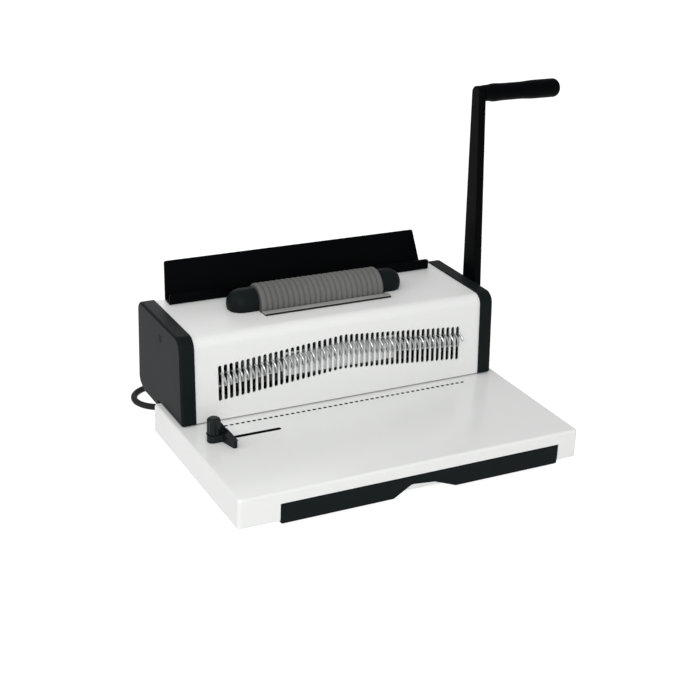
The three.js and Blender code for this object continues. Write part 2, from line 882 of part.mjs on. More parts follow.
function springPoints(x) {
  const points = [];
  const radius = (springDiameter - springWire) / 2;
  const bottom = followerTop + fit + springWire / 2;
  const top = hangerZ - hangerDiameter / 2 - fit - springWire / 2;
  const steps = springTurns * coilSteps;
  for (let step = 0; step <= steps; step += 1) {
    const angle = (2 * Math.PI * step) / coilSteps;
    const z = bottom + ((top - bottom) * step) / steps;
    points.push(new THREE.Vector3(x + radius * Math.cos(angle), springY + radius * Math.sin(angle), z));
  }
  return points;
}
for (const [side, name] of [[-1, "left"], [1, "right"]]) {
  const points = springPoints(side * springSpread);
  add(machine, `return_spring_${name}`, tube(points, springWire / 2, coilSides), steel);
}
const springGap = leastGap(springPoints(0), springWire, coilSteps / 2 + 1);
console.log("return spring: least gap to itself", springGap.toFixed(2));

// The white cover: one bent sheet, with the arched slots and the roller's opening.
function coverOutline() {
  const foot = facePoint(throatHeight, -sheet / 2);
  const rise = (housingTop - tableHeight) / Math.cos(faceLean);
  const top = facePoint(rise, -sheet / 2);
  const outer = roundedOutline([
    [foot.y, foot.z],
    [top.y, housingTop, faceBendRadius],
    [housingDepth, housingTop, rearBendRadius],
    [housingDepth, housingBottom, innerBendRadius],
    [floorFront, housingBottom],
  ], 4);
  outer.reverse();
  return strip(outer, sheet);
}

function slotOutline(index) {
  const x = rowX(index);
  const rise = slotRise * (1 - Math.abs(x) / halfRow);
  const radius = slotWidth / 2;
  const lowCentre = slotLowEnd + rise + radius;
  const highCentre = slotLowEnd + rise + slotLength - radius;
  const points = [];
  for (const [centre, first] of [[highCentre, 0], [lowCentre, Math.PI]]) {
    for (let step = 0; step <= slotEndSteps; step += 1) {
      const angle = first + (Math.PI * step) / slotEndSteps;
      points.push(new THREE.Vector2(x + radius * Math.cos(angle), centre + radius * Math.sin(angle)));
    }
  }
  return points;
}

// Cutting bars for the slots, square to the leaning face.
function slotCutter(index) {
  const shape = new THREE.Shape(slotOutline(index));
  const geometry = new THREE.ExtrudeGeometry(shape, { depth: 2 * overrun, bevelEnabled: false });
  geometry.translate(0, 0, -overrun);
  geometry.rotateX(Math.PI / 2);
  geometry.rotateX(-faceLean);
  return moved(geometry, 0, 0, tableHeight);
}

function housingCover() {
  let cover = solid(extrudeX(coverOutline(), -halfCover, halfCover));
  for (let index = 0; index < holeCount; index += 1) {
    cover = cover.subtract(solid(slotCutter(index)));
  }
  const opening = block(
    -openingLength / 2,
    openingLength / 2,
    openingFront,
    openingRear,
    housingTop - overrun,
    housingTop + overrun,
  );
  const beltWay = block(
    pulleyX - pocketWidth / 2,
    pulleyX + pocketWidth / 2,
    rollerY - pocketRadius + fit,
    rollerY + pocketRadius - fit,
    housingTop - overrun,
    housingTop + overrun,
  );
  const switchRoom = block(
    switchX - switchWidth / 2 + switchRim,
    switchX + switchWidth / 2 - switchRim,
    housingDepth - overrun,
    housingDepth + overrun,
    switchZ - switchHeight / 2 + switchRim,
    switchZ + switchHeight / 2 - switchRim,
  );
  cover = cover.subtract(solid(opening)).subtract(solid(beltWay));
  return cover.subtract(solid(switchRoom));
}
add(machine, "housing_cover", housingCover(), whitePaint);

// The moulded end caps: a rounded shell, open towards the housing, with a screw boss.
function capCorners(inset, extra = 0) {
  const foot = facePoint(0, -sheet / 2);
  const rise = (housingTop - tableHeight) / Math.cos(faceLean);
  const top = facePoint(rise, -sheet / 2);
  const front = -capProud + inset;
  return [
    [foot.y + front, tableHeight + capLift + inset, extra],
    [floorFront + inset, tableHeight + capLift + inset, extra],
    [floorFront + inset, housingBottom - capLift + inset, extra],
    [housingDepth + capProud - capBottomCut, housingBottom - capLift + inset, capRearRadius],
    [housingDepth + capProud - inset, housingBottom + capBottomCut / 2, capRearRadius],
    [housingDepth + capProud - inset, housingTop + capProud - inset, capRearRadius - inset / 2],
    [top.y + front, housingTop + capProud - inset, capFrontRadius - inset / 2],
  ];
}

function cap(side) {
  const shape = new THREE.Shape(roundedOutline(capCorners(capEdge), 4));
  const depth = capThickness - capEdge;
  const bevelled = new THREE.ExtrudeGeometry(shape, {
    depth,
    bevelThickness: capEdge,
    bevelSize: capEdge,
    bevelSegments: 2,
  });
  const turn = new THREE.Matrix4().set(0, 0, 1, 0, 1, 0, 0, 0, 0, 1, 0, 0, 0, 0, 0, 1);
  bevelled.applyMatrix4(turn);
  const wide = housingDepth * 2;
  let body = solid(moved(bevelled, halfCover, 0, 0));
  body = body.intersect(solid(block(halfCover, capOuter + overrun, -wide, wide, 0, wide)));
  const inside = roundedOutline(capCorners(capEdge + capWall), 4);
  const hollow = extrudeX(inside, halfCover - overrun, capOuter - capWall);
  body = body.subtract(solid(hollow));
  const boss = rod(
    "x",
    capBossDiameter / 2,
    plateInner + plateThickness + fit,
    capOuter - capWall / 2,
    capScrewY,
    capScrewZ,
    16,
  );
  body = body.add(solid(boss));
  const shank = rod("x", capScrewShank / 2 + fit, plateInner, capOuter + overrun, capScrewY, capScrewZ, 12);
  const headStart = capOuter - capScrewHeadHeight - fit;
  const head = rod("x", capScrewHead / 2 + fit, headStart, capOuter + overrun, capScrewY, capScrewZ, 16);
  body = body.subtract(solid(shank)).subtract(solid(head));
  if (side > 0) {
    const shaftHole = rod("x", capShaftHole / 2, halfCover - overrun, capOuter + overrun, shaftY, shaftZ);
    return body.subtract(solid(shaftHole));
  }
  return body.mirror([1, 0, 0]);
}
add(machine, "left_cap", cap(-1), blackPlastic);
add(machine, "right_cap", cap(1), blackPlastic);

for (const [side, name] of [[-1, "left"], [1, "right"]]) {
  const headStart = capOuter - capScrewHeadHeight;
  const head = rod("x", capScrewHead / 2, headStart, capOuter, capScrewY, capScrewZ, 16);
  const shank = rod(
    "x",
    capScrewShank / 2,
    capOuter - capScrewLength - capThickness / 2,
    headStart + sheet / 2,
    capScrewY,
    capScrewZ,
    12,
  );
  const screw = solid(head).add(solid(shank));
  add(machine, `${name}_cap_screw`, side > 0 ? screw : screw.mirror([1, 0, 0]), darkSteel);
}

// The coil of wire threaded through the slots of the face.
function coilPoints() {
  const points = [];
  const quarter = coilSteps / 4;
  const turns = holeCount;
  const last = turns * coilSteps - quarter;
  for (let step = 0; step <= last; step += 1) {
    const turn = Math.floor(step / coilSteps);
    const part = step % coilSteps;
    const angle = -Math.PI / 2 + (2 * Math.PI * part) / coilSteps;
    const behindShare = Math.min(part / (coilSteps / 2), 1);
    const frontShare = Math.max(part / (coilSteps / 2) - 1, 0);
    const x = rowX(turn) + coilLean * (1 - 2 * behindShare) + (holePitch + 2 * coilLean) * frontShare;
    const rise = slotRise * (1 - Math.min(Math.abs(x), halfRow) / halfRow);
    const axis = slotLowEnd + slotLength + rise - coilDrop;
    const spot = facePoint(axis + coilRadius * Math.sin(angle), coilRadius * Math.cos(angle));
    points.push(new THREE.Vector3(x, spot.y, spot.z));
  }
  return points;
}
const coilLine = coilPoints();
add(machine, "binding_coil", tube(coilLine, coilWire / 2, coilSides), steel);
console.log("binding coil: least gap to itself", leastGap(coilLine, coilWire, coilSteps / 2 + 1).toFixed(2));

// The roller: a ribbed rubber sleeve on a shaft between two domed blocks.
function rollerSleeve() {
  const profile = [];
  const bore = rollerShaftDiameter / 2 + fit;
  const pitch = rollerLength / rollerRibs;
  const start = -rollerLength / 2;
  profile.push(new THREE.Vector2(bore, start));
  for (let rib = 0; rib < rollerRibs; rib += 1) {
    profile.push(new THREE.Vector2(rollerRadius - rollerGroove, start + pitch * rib));
    profile.push(new THREE.Vector2(rollerRadius, start + pitch * (rib + rollerCrestShare)));
  }
  profile.push(new THREE.Vector2(rollerRadius - rollerGroove, -start));
  profile.push(new THREE.Vector2(bore, -start));
  profile.push(new THREE.Vector2(bore, start));
  const geometry = new THREE.LatheGeometry(profile, rollerFaces);
  geometry.rotateZ(-Math.PI / 2);
  return moved(geometry, 0, rollerY, rollerZ);
}
add(machine, "roller_sleeve", solid(rollerSleeve()), rubber);

add(
  machine,
  "roller_shaft",
  rod("x", rollerShaftDiameter / 2, -rollerShaftEnd, rollerShaftEnd, rollerY, rollerZ, 16),
  steel,
);

function rollerBlock(side) {
  const length = blockLength - (side > 0 ? blockShortening : 0);
  const profile = [new THREE.Vector2(0, 0), new THREE.Vector2(blockRadius - sheet, 0)];
  profile.push(new THREE.Vector2(blockRadius, sheet));
  const dome = length - blockRadius;
  const steps = 4;
  for (let step = 0; step < steps; step += 1) {
    const angle = (Math.PI / 2) * (step / steps);
    profile.push(new THREE.Vector2(blockRadius * Math.cos(angle), dome + blockRadius * Math.sin(angle)));
  }
  profile.push(new THREE.Vector2(0, length));
  const lathe = new THREE.LatheGeometry(profile, 20);
  lathe.rotateZ(-Math.PI / 2);
  let body = solid(moved(lathe, blockInner, rollerY, blockZ));
  const reach = blockInner + length + overrun;
  const sides = rollerY + 2 * blockRadius;
  const bore = rollerShaftEnd + fit;
  body = body.intersect(solid(block(0, reach, 0, sides, housingTop, housingTop + 2 * blockRadius + overrun)));
  body = body.subtract(
    solid(rod("x", rollerShaftDiameter / 2 + fit, blockInner - overrun, bore, rollerY, rollerZ, 16)),
  );
  if (side > 0) {
    return body;
  }
  const pocketStart = -pulleyX - pocketWidth / 2;
  const pocketEnd = -pulleyX + pocketWidth / 2;
  const pocket = solid(rod("x", pocketRadius, pocketStart, pocketEnd, rollerY, rollerZ, 20));
  const way = block(
    pocketStart,
    pocketEnd,
    rollerY - pocketRadius + fit,
    rollerY + pocketRadius - fit,
    housingTop - overrun,
    rollerZ,
  );
  return body.subtract(pocket).subtract(solid(way)).mirror([1, 0, 0]);
}
add(machine, "left_roller_block", rollerBlock(-1), blackPlastic);
add(machine, "right_roller_block", rollerBlock(1), blackPlastic);

// The bright guard in front of the roller: a hooked strip that hangs on the edge of the opening.
function rollerLip() {
  const back = openingFront + fit + lipThickness;
  const top = housingTop + lipRise;
  const line = [
    new THREE.Vector2(back, top - lipDepth),
    new THREE.Vector2(back, top + lipThickness),
    new THREE.Vector2(lipFront, top + lipThickness),
  ];
  return extrudeX(strip(line, lipThickness), -lipLength / 2, lipLength / 2);
}
add(machine, "roller_lip", rollerLip(), steel);

// The bracket under the roller: its front wall shows through the middle slots.
function cradleLine() {
  const top = housingTop - sheet - fit;
  return roundedOutline([
    [cradleFaceY, cradleFaceBottom],
    [cradleFaceY, top, faceBendRadius],
    [openingFront, top],
    [openingFront, cradleFloor],
    [openingRear, cradleFloor],
    [openingRear, top],
    [openingRear + cradleFlange, top],
  ], 4);
}
add(
  machine,
  "roller_cradle",
  extrudeX(strip(cradleLine(), -sheet), -cradleLength / 2, cradleLength / 2),
  steel,
);

const motorZ = cradleFloor - sheet - fit - motorRadius;
function motor() {
  const profile = [
    new THREE.Vector2(0, 0),
    new THREE.Vector2(motorRadius - sheet, 0),
    new THREE.Vector2(motorRadius, sheet),
    new THREE.Vector2(motorRadius, motorLength - sheet),
    new THREE.Vector2(motorRadius - sheet, motorLength),
    new THREE.Vector2(0, motorLength),
  ];
  const lathe = new THREE.LatheGeometry(profile, 24);
  lathe.rotateZ(-Math.PI / 2);
  return moved(lathe, motorStart, motorY, motorZ);
}
add(machine, "roller_motor", solid(motor()), darkSteel);

function pulley(y, z, boreDiameter) {
  const start = pulleyX - pulleyWidth / 2;
  const wheel = solid(rod("x", pulleyRadius, start, start + pulleyWidth, y, z, 20));
  const bore = rod("x", boreDiameter / 2 + fit, start - overrun, start + pulleyWidth + overrun, y, z, 12);
  return wheel.subtract(solid(bore));
}
add(machine, "roller_pulley", pulley(rollerY, rollerZ, rollerShaftDiameter), brass);

function motorPulley() {
  const start = pulleyX - pulleyWidth / 2;
  const wheel = rod("x", pulleyRadius, start, start + pulleyWidth, motorY, motorZ, 20);
  const spindle = rod("x", motorShaftDiameter / 2, start, motorStart - fit, motorY, motorZ, 12);
  return solid(wheel).add(solid(spindle));
}
add(machine, "motor_pulley", motorPulley(), brass);

// The belt round both pulleys, as two rings of points joined into one loop.
function driveBelt() {
  const way = Math.atan2(rollerZ - motorZ, rollerY - motorY);
  function loop(radius) {
    const points = [];
    const steps = 10;
    for (let step = 0; step <= steps; step += 1) {
      const angle = way + Math.PI / 2 + (Math.PI * step) / steps;
      points.push(new THREE.Vector2(motorY + radius * Math.cos(angle), motorZ + radius * Math.sin(angle)));
    }
    for (let step = 0; step <= steps; step += 1) {
      const angle = way - Math.PI / 2 + (Math.PI * step) / steps;
      points.push(new THREE.Vector2(rollerY + radius * Math.cos(angle), rollerZ + radius * Math.sin(angle)));
    }
    return points;
  }
  const inner = loop(pulleyRadius + fit);
  const outer = loop(pulleyRadius + fit + beltThickness);
  return extrudeX(outer, pulleyX - beltWidth / 2, pulleyX + beltWidth / 2, [inner]);
}
add(machine, "drive_belt", driveBelt(), softRubber);

// The rest along the back: a low lip, a floor and a wall that leans back, narrower at its top.
function restTrough() {
  const floor = housingTop;
  const rear = restFront + restFloorDepth;
  const line = roundedOutline([
    [restFront, floor + restLipHeight],
    [restFront, floor, restThickness],
    [rear, floor, restThickness],
    [rear + restWallLean, restWallTop],
  ], 3);
  let body = solid(extrudeX(strip(line, restThickness), -restLength / 2, restLength / 2));
  const taper = Math.atan2((restLength - restTopLength) / 2, restWallTop - floor - restLipHeight);
  for (const side of [-1, 1]) {
    const wedge = block(0, restLipHeight * 2, -overrun, restWallLean * 3, 0, restWallTop);
    if (side < 0) {
      wedge.translate(-restLipHeight * 2, 0, 0);
    }
    wedge.rotateY(-side * taper);
    wedge.translate((side * restLength) / 2, restFront, floor + restLipHeight + fit);
    body = body.subtract(solid(wedge));
  }
  return body;
}
add(machine, "rest_trough", restTrough(), blackPaint);

// The lever: a hub and socket on the cam shaft, a tapered arm and a grip.
function leverHub() {
  let body = solid(rod("x", hubDiameter / 2, hubInner, hubOuter, shaftY, shaftZ, 32));
  const outline = roundedOutline([
    [-socketWidth / 2, 0],
    [socketWidth / 2, 0],
    [socketWidth / 2, socketTop, sheet],
    [-socketWidth / 2, socketTop, sheet],
  ], 2);
  const socket = extrudeX(outline, hubInner, hubOuter);
  socket.rotateX(-leverLean);
  body = body.add(solid(moved(socket, 0, shaftY, shaftZ)));
  const bore = rod("x", shaftDiameter / 2 + fit, hubInner - overrun, hubOuter - sheet + fit, shaftY, shaftZ);
  body = body.subtract(solid(bore));
  return body.subtract(solid(leverArmGeometry(fit)));
}

function leverArmGeometry(grow) {
  const bottom = hubDiameter / 2 + sheet;
  const inner = hubInner + (hubThickness - armThickness) / 2;
  const outline = roundedOutline([
    [-armBottomWidth / 2 - grow, bottom - grow],
    [armBottomWidth / 2 + grow, bottom - grow],
    [armTopWidth / 2 + grow, leverLength + armTopWidth / 2 + grow, elbowRadius],
    [-armTopWidth / 2 - grow, leverLength + armTopWidth / 2 + grow, elbowRadius],
  ], 5);
  const arm = extrudeX(outline, inner - grow, inner + armThickness + grow);
  arm.rotateX(-leverLean);
  return moved(arm, 0, shaftY, shaftZ);
}

const gripY = shaftY + leverLength * Math.sin(leverLean);
const gripZ = shaftZ + leverLength * Math.cos(leverLean);
const armInnerX = hubInner + (hubThickness - armThickness) / 2;
const armOuterX = armInnerX + armThickness;
function leverArm() {
  const pinEnd = armOuterX + gripLength - gripDiameter;
  const pin = rod("x", gripPinDiameter / 2, armInnerX + sheet, pinEnd, gripY, gripZ, 16);
  return solid(leverArmGeometry(0)).add(solid(pin));
}

function leverGrip() {
  const bore = gripPinDiameter / 2 + fit;
  const start = armOuterX + fit;
  const radius = gripDiameter / 2;
  const profile = [new THREE.Vector2(bore, 0), new THREE.Vector2(gripCollarDiameter / 2, 0)];
  profile.push(new THREE.Vector2(gripCollarDiameter / 2, gripCollarLength));
  profile.push(new THREE.Vector2(radius, gripCollarLength + sheet));
  const steps = 5;
  for (let step = 0; step < steps; step += 1) {
    const angle = (Math.PI / 2) * (step / steps);
    profile.push(
      new THREE.Vector2(radius * Math.cos(angle), gripLength - radius + radius * Math.sin(angle)),
    );
  }
  profile.push(new THREE.Vector2(0, gripLength));
  profile.push(new THREE.Vector2(0, gripLength - gripDiameter + sheet));
  profile.push(new THREE.Vector2(bore, gripLength - gripDiameter + sheet));
  profile.push(new THREE.Vector2(bore, 0));
  const lathe = new THREE.LatheGeometry(profile, 16);
  lathe.rotateZ(-Math.PI / 2);
  return solid(moved(lathe, start, gripY, gripZ));
}
add(machine, "lever_hub", leverHub(), blackPaint);
add(machine, "lever_arm", leverArm(), blackPaint);
add(machine, "lever_grip", leverGrip(), blackPlastic);

// The side guide: a moulded foot with a pointed nose and a sloping web, a fluted knob and a nut.
function sideGuide() {
  const bottom = tableHeight + fit;
  const footTop = bottom + guideFootHeight;
  const foot = extrudeZ(
    roundedOutline([
      [guideRight, guideFront],
      [guideRight, guideRear],
      [guideLeft, guideRear, guideHeelRadius],
      [guideLeft, guideRear - guideHeelDepth, guideHeelRadius],
      [guideLeft + guideHeelWidth, guideRear - guideHeelDepth],
      [guideRight - guideNoseWidth, guideFront],
    ], 3),
    bottom,
    footTop,
  );
  const webLeft = knobX + knobDiameter / 2 + 2 * fit;
  const webRight = guideRight + guideWebReach;
  const webRear = guideSlotY + guideWebDepth;
  const web = extrudeY(
    [
      new THREE.Vector2(webLeft, bottom),
      new THREE.Vector2(webRight, bottom),
      new THREE.Vector2(webRight, bottom + fit),
      new THREE.Vector2(webLeft + fit, guideWebTop),
      new THREE.Vector2(webLeft, guideWebTop),
    ],
    guideSlotY,
    webRear,
  );
  const bore = rod("z", studDiameter / 2 + fit, bottom - overrun, footTop + overrun, knobX, guideSlotY, 12);
  return solid(foot).add(solid(web)).subtract(solid(bore));
}
add(machine, "side_guide", sideGuide(), blackPlastic);

function guideKnob() {
  const bottom = tableHeight + fit + guideFootHeight + fit;
  const outline = [];
  for (let step = 0; step < knobFlutes * 2; step += 1) {
    const angle = (Math.PI * step) / knobFlutes;
    const radius = knobDiameter / 2 - (step % 2) * knobFluteDepth;
    outline.push(new THREE.Vector2(radius * Math.cos(angle), radius * Math.sin(angle)));
  }
  const shape = new THREE.Shape(outline);
  const crown = knobCrown;
  const head = new THREE.ExtrudeGeometry(shape, {
    depth: knobHeight - crown,
    bevelThickness: crown,
    bevelSize: crown,
    bevelOffset: -crown,
    bevelSegments: 2,
  });
  let body = solid(moved(head, knobX, guideSlotY, bottom));
  body = body.intersect(solid(rod("z", knobDiameter, bottom, bottom + knobHeight, knobX, guideSlotY, 8)));
  const stud = rod(
    "z",
    studDiameter / 2,
    deckUnderside - fit - nutThickness,
    bottom + knobHeight / 2,
    knobX,
    guideSlotY,
    12,
  );
  return body.add(solid(stud));
}
add(machine, "guide_knob", guideKnob(), blackPlastic);

function guideNut() {
  const top = deckUnderside - fit;
  const half = nutWidth / 2;
  const plate = block(knobX - half, knobX + half, guideSlotY - half, guideSlotY + half, top - nutThickness, top);
  const bore = rod("z", studDiameter / 2 + fit, top - nutThickness - overrun, top + overrun, knobX, guideSlotY, 12);
  return solid(plate).subtract(solid(bore));
}
add(machine, "guide_nut", guideNut(), steel);

// The rocker switch on the back.
function switchFrame() {
  const halfWidth = switchWidth / 2;
  const halfHeight = switchHeight / 2;
  const flange = block(
    switchX - halfWidth,
    switchX + halfWidth,
    housingDepth + fit,
    housingDepth + fit + sheet,
    switchZ - halfHeight,
    switchZ + halfHeight,
  );
  const inset = switchRim + fit;
  const body = block(
    switchX - halfWidth + inset,
    switchX + halfWidth - inset,
    housingDepth - switchDepth,
    housingDepth + fit + sheet / 2,
    switchZ - halfHeight + inset,
    switchZ + halfHeight - inset,
  );
  const room = block(
    switchX - halfWidth + inset + sheet,
    switchX + halfWidth - inset - sheet,
    housingDepth - switchDepth / 2,
    housingDepth + overrun,
    switchZ - halfHeight + inset + sheet,
    switchZ + halfHeight - inset - sheet,
  );
  return solid(flange).add(solid(body)).subtract(solid(room));
}
add(machine, "switch_frame", switchFrame(), blackPlastic);

// The rocker's face is a shallow V. It stays inside a circle round its pivot, so it clears the frame as it tips.
function switchRocker() {
  const halfWidth = switchWidth / 2 - switchRim - fit - sheet - fit;
  const reach = switchHeight / 2 - switchRim - fit - sheet - fit;
  const halfHeight = Math.sqrt(reach * reach - rockerRise * rockerRise);
  const tip = THREE.MathUtils.degToRad(rockerTipDegrees);
  const pivot = new THREE.Vector2(rockerPivotY, switchZ);
  const outline = [
    new THREE.Vector2(-sheet, -halfHeight),
    new THREE.Vector2(rockerRise, -halfHeight),
    new THREE.Vector2(rockerRise - rockerDip, 0),
    new THREE.Vector2(rockerRise, halfHeight),
    new THREE.Vector2(-sheet, halfHeight),
  ].map((point) => point.rotateAround(new THREE.Vector2(), tip).add(pivot));
  return solid(extrudeX(outline, switchX - halfWidth, switchX + halfWidth));
}
add(machine, "switch_rocker", switchRocker(), softRubber);

// The strain relief in the back wall of the base.
function strainRelief() {
  const start = tableRear - tableWall - reliefFlangeThickness;
  const body = solid(rod("y", reliefDiameter / 2 - fit, start, tableRear + reliefLength, reliefX, reliefZ, 16));
  const seat = tableRear + fit;
  const flange = rod("y", reliefFlange / 2, seat, seat + reliefFlangeThickness, reliefX, reliefZ, 16);
  return body.add(solid(flange));
}
add(machine, "strain_relief", strainRelief(), softRubber);

// The cord: out of the relief, down to the ground, round behind the left corner and into its coil.
const cordGround = cordDiameter / 2;
const cordCoilPitch = cordDiameter + cordCoilGap;
const cordCoilY = cordRearY - cordCoilOuter;
const plugLift = plugDiameter / 2 + fit; // the plug lies on its round side
const cordRoute = [
  [reliefX, tableRear + reliefLength + fit, reliefZ],
  [reliefX, 88, 20.5],
  [-111, 96, 17.5],
  [-114, 104, 13],
  [-119, 111, 8.5],
  [-126, 117, 5.4],
  [-134, 121, 4.2],
  [-142, 123.4, cordGround],
  [-150, 124.6, cordGround],
  [-157, 125.2, cordGround],
  [-164.5, 126.7, cordGround],
  [-171.5, 130.5, cordGround],
  [-177.5, 136, cordGround],
  [-181.8, 143, cordGround],
  [-183.8, 151, cordGround],
  [-183, 159.5, cordGround],
  [-179.5, 167.5, cordGround],
  [-173.6, 174, cordGround],
  [-166, 178.7, cordGround],
  [-157, 181.6, cordGround],
  [-146, 183.2, cordGround],
  [-130, cordRearY, cordGround],
  [-105, cordRearY, cordGround],
  [-80, cordRearY, cordGround],
  [-56, cordRearY, cordGround],
  [-36, cordRearY, cordGround],
  [cordCoilX - cordDiameter - fit, cordRearY, cordGround],
];

function cordRun() {
  const points = cordRoute.map(([x, y, z]) => new THREE.Vector3(x, y, z));
  const path = new THREE.CatmullRomCurve3(points, false, "centripetal");
  const section = new THREE.Shape(ring(0, 0, cordDiameter / 2, cordSides));
  return new THREE.ExtrudeGeometry(section, { steps: cordSteps, extrudePath: path, bevelEnabled: false });
}

// Two layers of turns: in along the ground, then up and out again on top, clockwise from above.
function cordCoilPoints() {
  const start = new THREE.Vector3(cordCoilX - cordDiameter, cordCoilY + cordCoilOuter, cordGround);
  const points = [start];
  const steps = 2 * cordCoilTurns * cordLoopSteps;
  const half = steps / 2;
  const climb = cordLoopSteps / 2;
  for (let step = 0; step <= steps; step += 1) {
    const angle = Math.PI / 2 - (2 * Math.PI * step) / cordLoopSteps;
    const turned = Math.min(step, steps - step) / cordLoopSteps;
    const radius = cordCoilOuter - cordCoilPitch * turned;
    const share = THREE.MathUtils.smoothstep(step, half - climb / 2, half + climb / 2);
    const z = cordGround + cordCoilPitch * share;
    points.push(new THREE.Vector3(cordCoilX + radius * Math.cos(angle), cordCoilY + radius * Math.sin(angle), z));
  }
  const top = points.at(-1);
  const tailSteps = 4;
  for (let step = 1; step <= tailSteps; step += 1) {
    const share = THREE.MathUtils.smoothstep(step, 0, tailSteps);
    const z = THREE.MathUtils.lerp(top.z, plugLift, share);
    points.push(new THREE.Vector3(top.x + (cordTail * step) / tailSteps, top.y, z));
  }
  points.push(new THREE.Vector3(top.x + cordTail + cordDiameter, top.y, plugLift));
  return points;
}
const cordCoilLine = cordCoilPoints();
console.log("cord coil: least gap to itself", leastGap(cordCoilLine, cordDiameter, cordLoopSteps / 2).toFixed(2));
add(cord, "mains_cord", solid(cordRun()), softRubber);
add(cord, "cord_coil", tube(cordCoilLine, cordDiameter / 2, cordLoopSides), softRubber);

// The plug lies behind the coil, on the cord's end.
function mainsPlug() {
  const end = cordCoilLine.at(-1);
  const radius = plugDiameter / 2;
  const profile = [
    new THREE.Vector2(0, 0),
    new THREE.Vector2(cordDiameter / 2 + sheet, 0),
    new THREE.Vector2(cordDiameter / 2 + 2 * sheet, plugNeck),
    new THREE.Vector2(radius - sheet, plugNeck + plugShoulder / 2),
    new THREE.Vector2(radius, plugNeck + plugShoulder),
    new THREE.Vector2(radius, plugLength),
    new THREE.Vector2(0, plugLength),
  ];
  const lathe = new THREE.LatheGeometry(profile, 18);
  lathe.rotateZ(-Math.PI / 2);
  let body = solid(moved(lathe, end.x + fit, end.y, end.z));
  for (const side of [-1, 1]) {
    const y = end.y + (side * plugPinSpread) / 2;
    const start = end.x + plugLength - sheet;
    body = body.add(solid(rod("x", plugPinDiameter / 2, start, start + plugPinLength + sheet, y, end.z, 10)));
  }
  return body;
}
add(cord, "mains_plug", mainsPlug(), softRubber);

// The origin is on the ground under the middle of the machine's box, without the cord.
const room = new THREE.Box3().setFromObject(machine);
const origin = room.getCenter(new THREE.Vector3());
const size = room.getSize(new THREE.Vector3());
console.log("origin at", origin.x.toFixed(3), origin.y.toFixed(3), "size", size.toArray());
const root = new THREE.Group();
root.add(machine, cord);
root.position.set(-origin.x, -origin.y, 0);

export default root;
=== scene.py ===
# %% [markdown]
# # A desktop coil binding machine
# The machine stands on four feet: a white moulded table with a chip drawer, a white bent sheet housing between
# two black caps, a rubber roller on top, a black rest along the back and a black hand lever on the right.
# The CAD model is loaded as a fixed frame. New surfaces are worked out with numpy and laid over it, and every
# finish is made from shader nodes.

# %% Load the frame
import math

import bmesh
import bpy
import numpy as np
from mathutils import Matrix, Vector


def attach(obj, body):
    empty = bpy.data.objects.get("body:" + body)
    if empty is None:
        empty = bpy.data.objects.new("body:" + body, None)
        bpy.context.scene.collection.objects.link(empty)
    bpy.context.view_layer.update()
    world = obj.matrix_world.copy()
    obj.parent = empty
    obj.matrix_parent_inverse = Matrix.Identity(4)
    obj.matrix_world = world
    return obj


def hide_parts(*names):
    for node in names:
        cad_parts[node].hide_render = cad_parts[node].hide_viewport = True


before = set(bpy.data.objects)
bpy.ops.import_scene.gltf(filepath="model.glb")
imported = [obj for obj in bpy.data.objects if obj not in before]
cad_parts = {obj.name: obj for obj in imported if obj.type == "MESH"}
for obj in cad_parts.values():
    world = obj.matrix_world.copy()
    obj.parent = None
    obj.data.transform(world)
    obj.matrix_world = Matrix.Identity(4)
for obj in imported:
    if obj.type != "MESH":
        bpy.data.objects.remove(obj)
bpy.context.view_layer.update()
MM = 0.001
MIDDLE_X = -53.3  # the middle of the row of pins, in the frame's millimetres
FACE_Y = 11.5  # the foot of the housing's face
print(len(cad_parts), "nodes in the frame")


def at(points):
    """Places in millimetres from the pins' middle, the face's foot and the ground, in frame metres."""
    return (np.asarray(points, float) + np.array([MIDDLE_X, FACE_Y, 0.0])) * MM


# %% [markdown]
# ## The camera
# A photograph fixes where its camera stood. This one looks down from the front left, with a small roll, through
# a lens of about 73 mm on a 36 mm wide sensor. The three axes of the camera are built from the azimuth, the
# elevation and the roll, so each can be read and changed on its own.

# %% Camera
EYE = (-0.70559, -1.21663, 0.69454)
AZIMUTH = math.radians(-28.18)
ELEVATION = math.radians(23.24)
ROLL = math.radians(2.47)
SENSOR = 36.0
FOCAL = 72.76

ahead = Vector(
    (-math.sin(AZIMUTH) * math.cos(ELEVATION), math.cos(AZIMUTH) * math.cos(ELEVATION), -math.sin(ELEVATION))
)
level = ahead.cross(Vector((0, 0, 1))).normalized()
above = level.cross(ahead)
across = level * math.cos(ROLL) + above * math.sin(ROLL)
upward = above * math.cos(ROLL) - level * math.sin(ROLL)
camera_data = bpy.data.cameras.new("camera")
camera_data.lens = FOCAL
camera_data.sensor_width = SENSOR
camera = bpy.data.objects.new("camera", camera_data)
camera.matrix_world = Matrix(
    (
        (across.x, upward.x, -ahead.x, EYE[0]),
        (across.y, upward.y, -ahead.y, EYE[1]),
        (across.z, upward.z, -ahead.z, EYE[2]),
        (0, 0, 0, 1),
    )
)
bpy.context.scene.collection.objects.link(camera)
bpy.context.scene.camera = camera
print("camera at", EYE, "with a lens of", FOCAL, "mm")

# %% [markdown]
# ## Making meshes from arrays
# A surface is a function of two parameters. Its points are computed as one array of rows and columns, and each
# cell of the grid becomes a four-sided face. The arrays go into the mesh in one call each, which is quick and
# keeps every formula in one place.

# %% Mesh helpers
MERGE = 0.000002


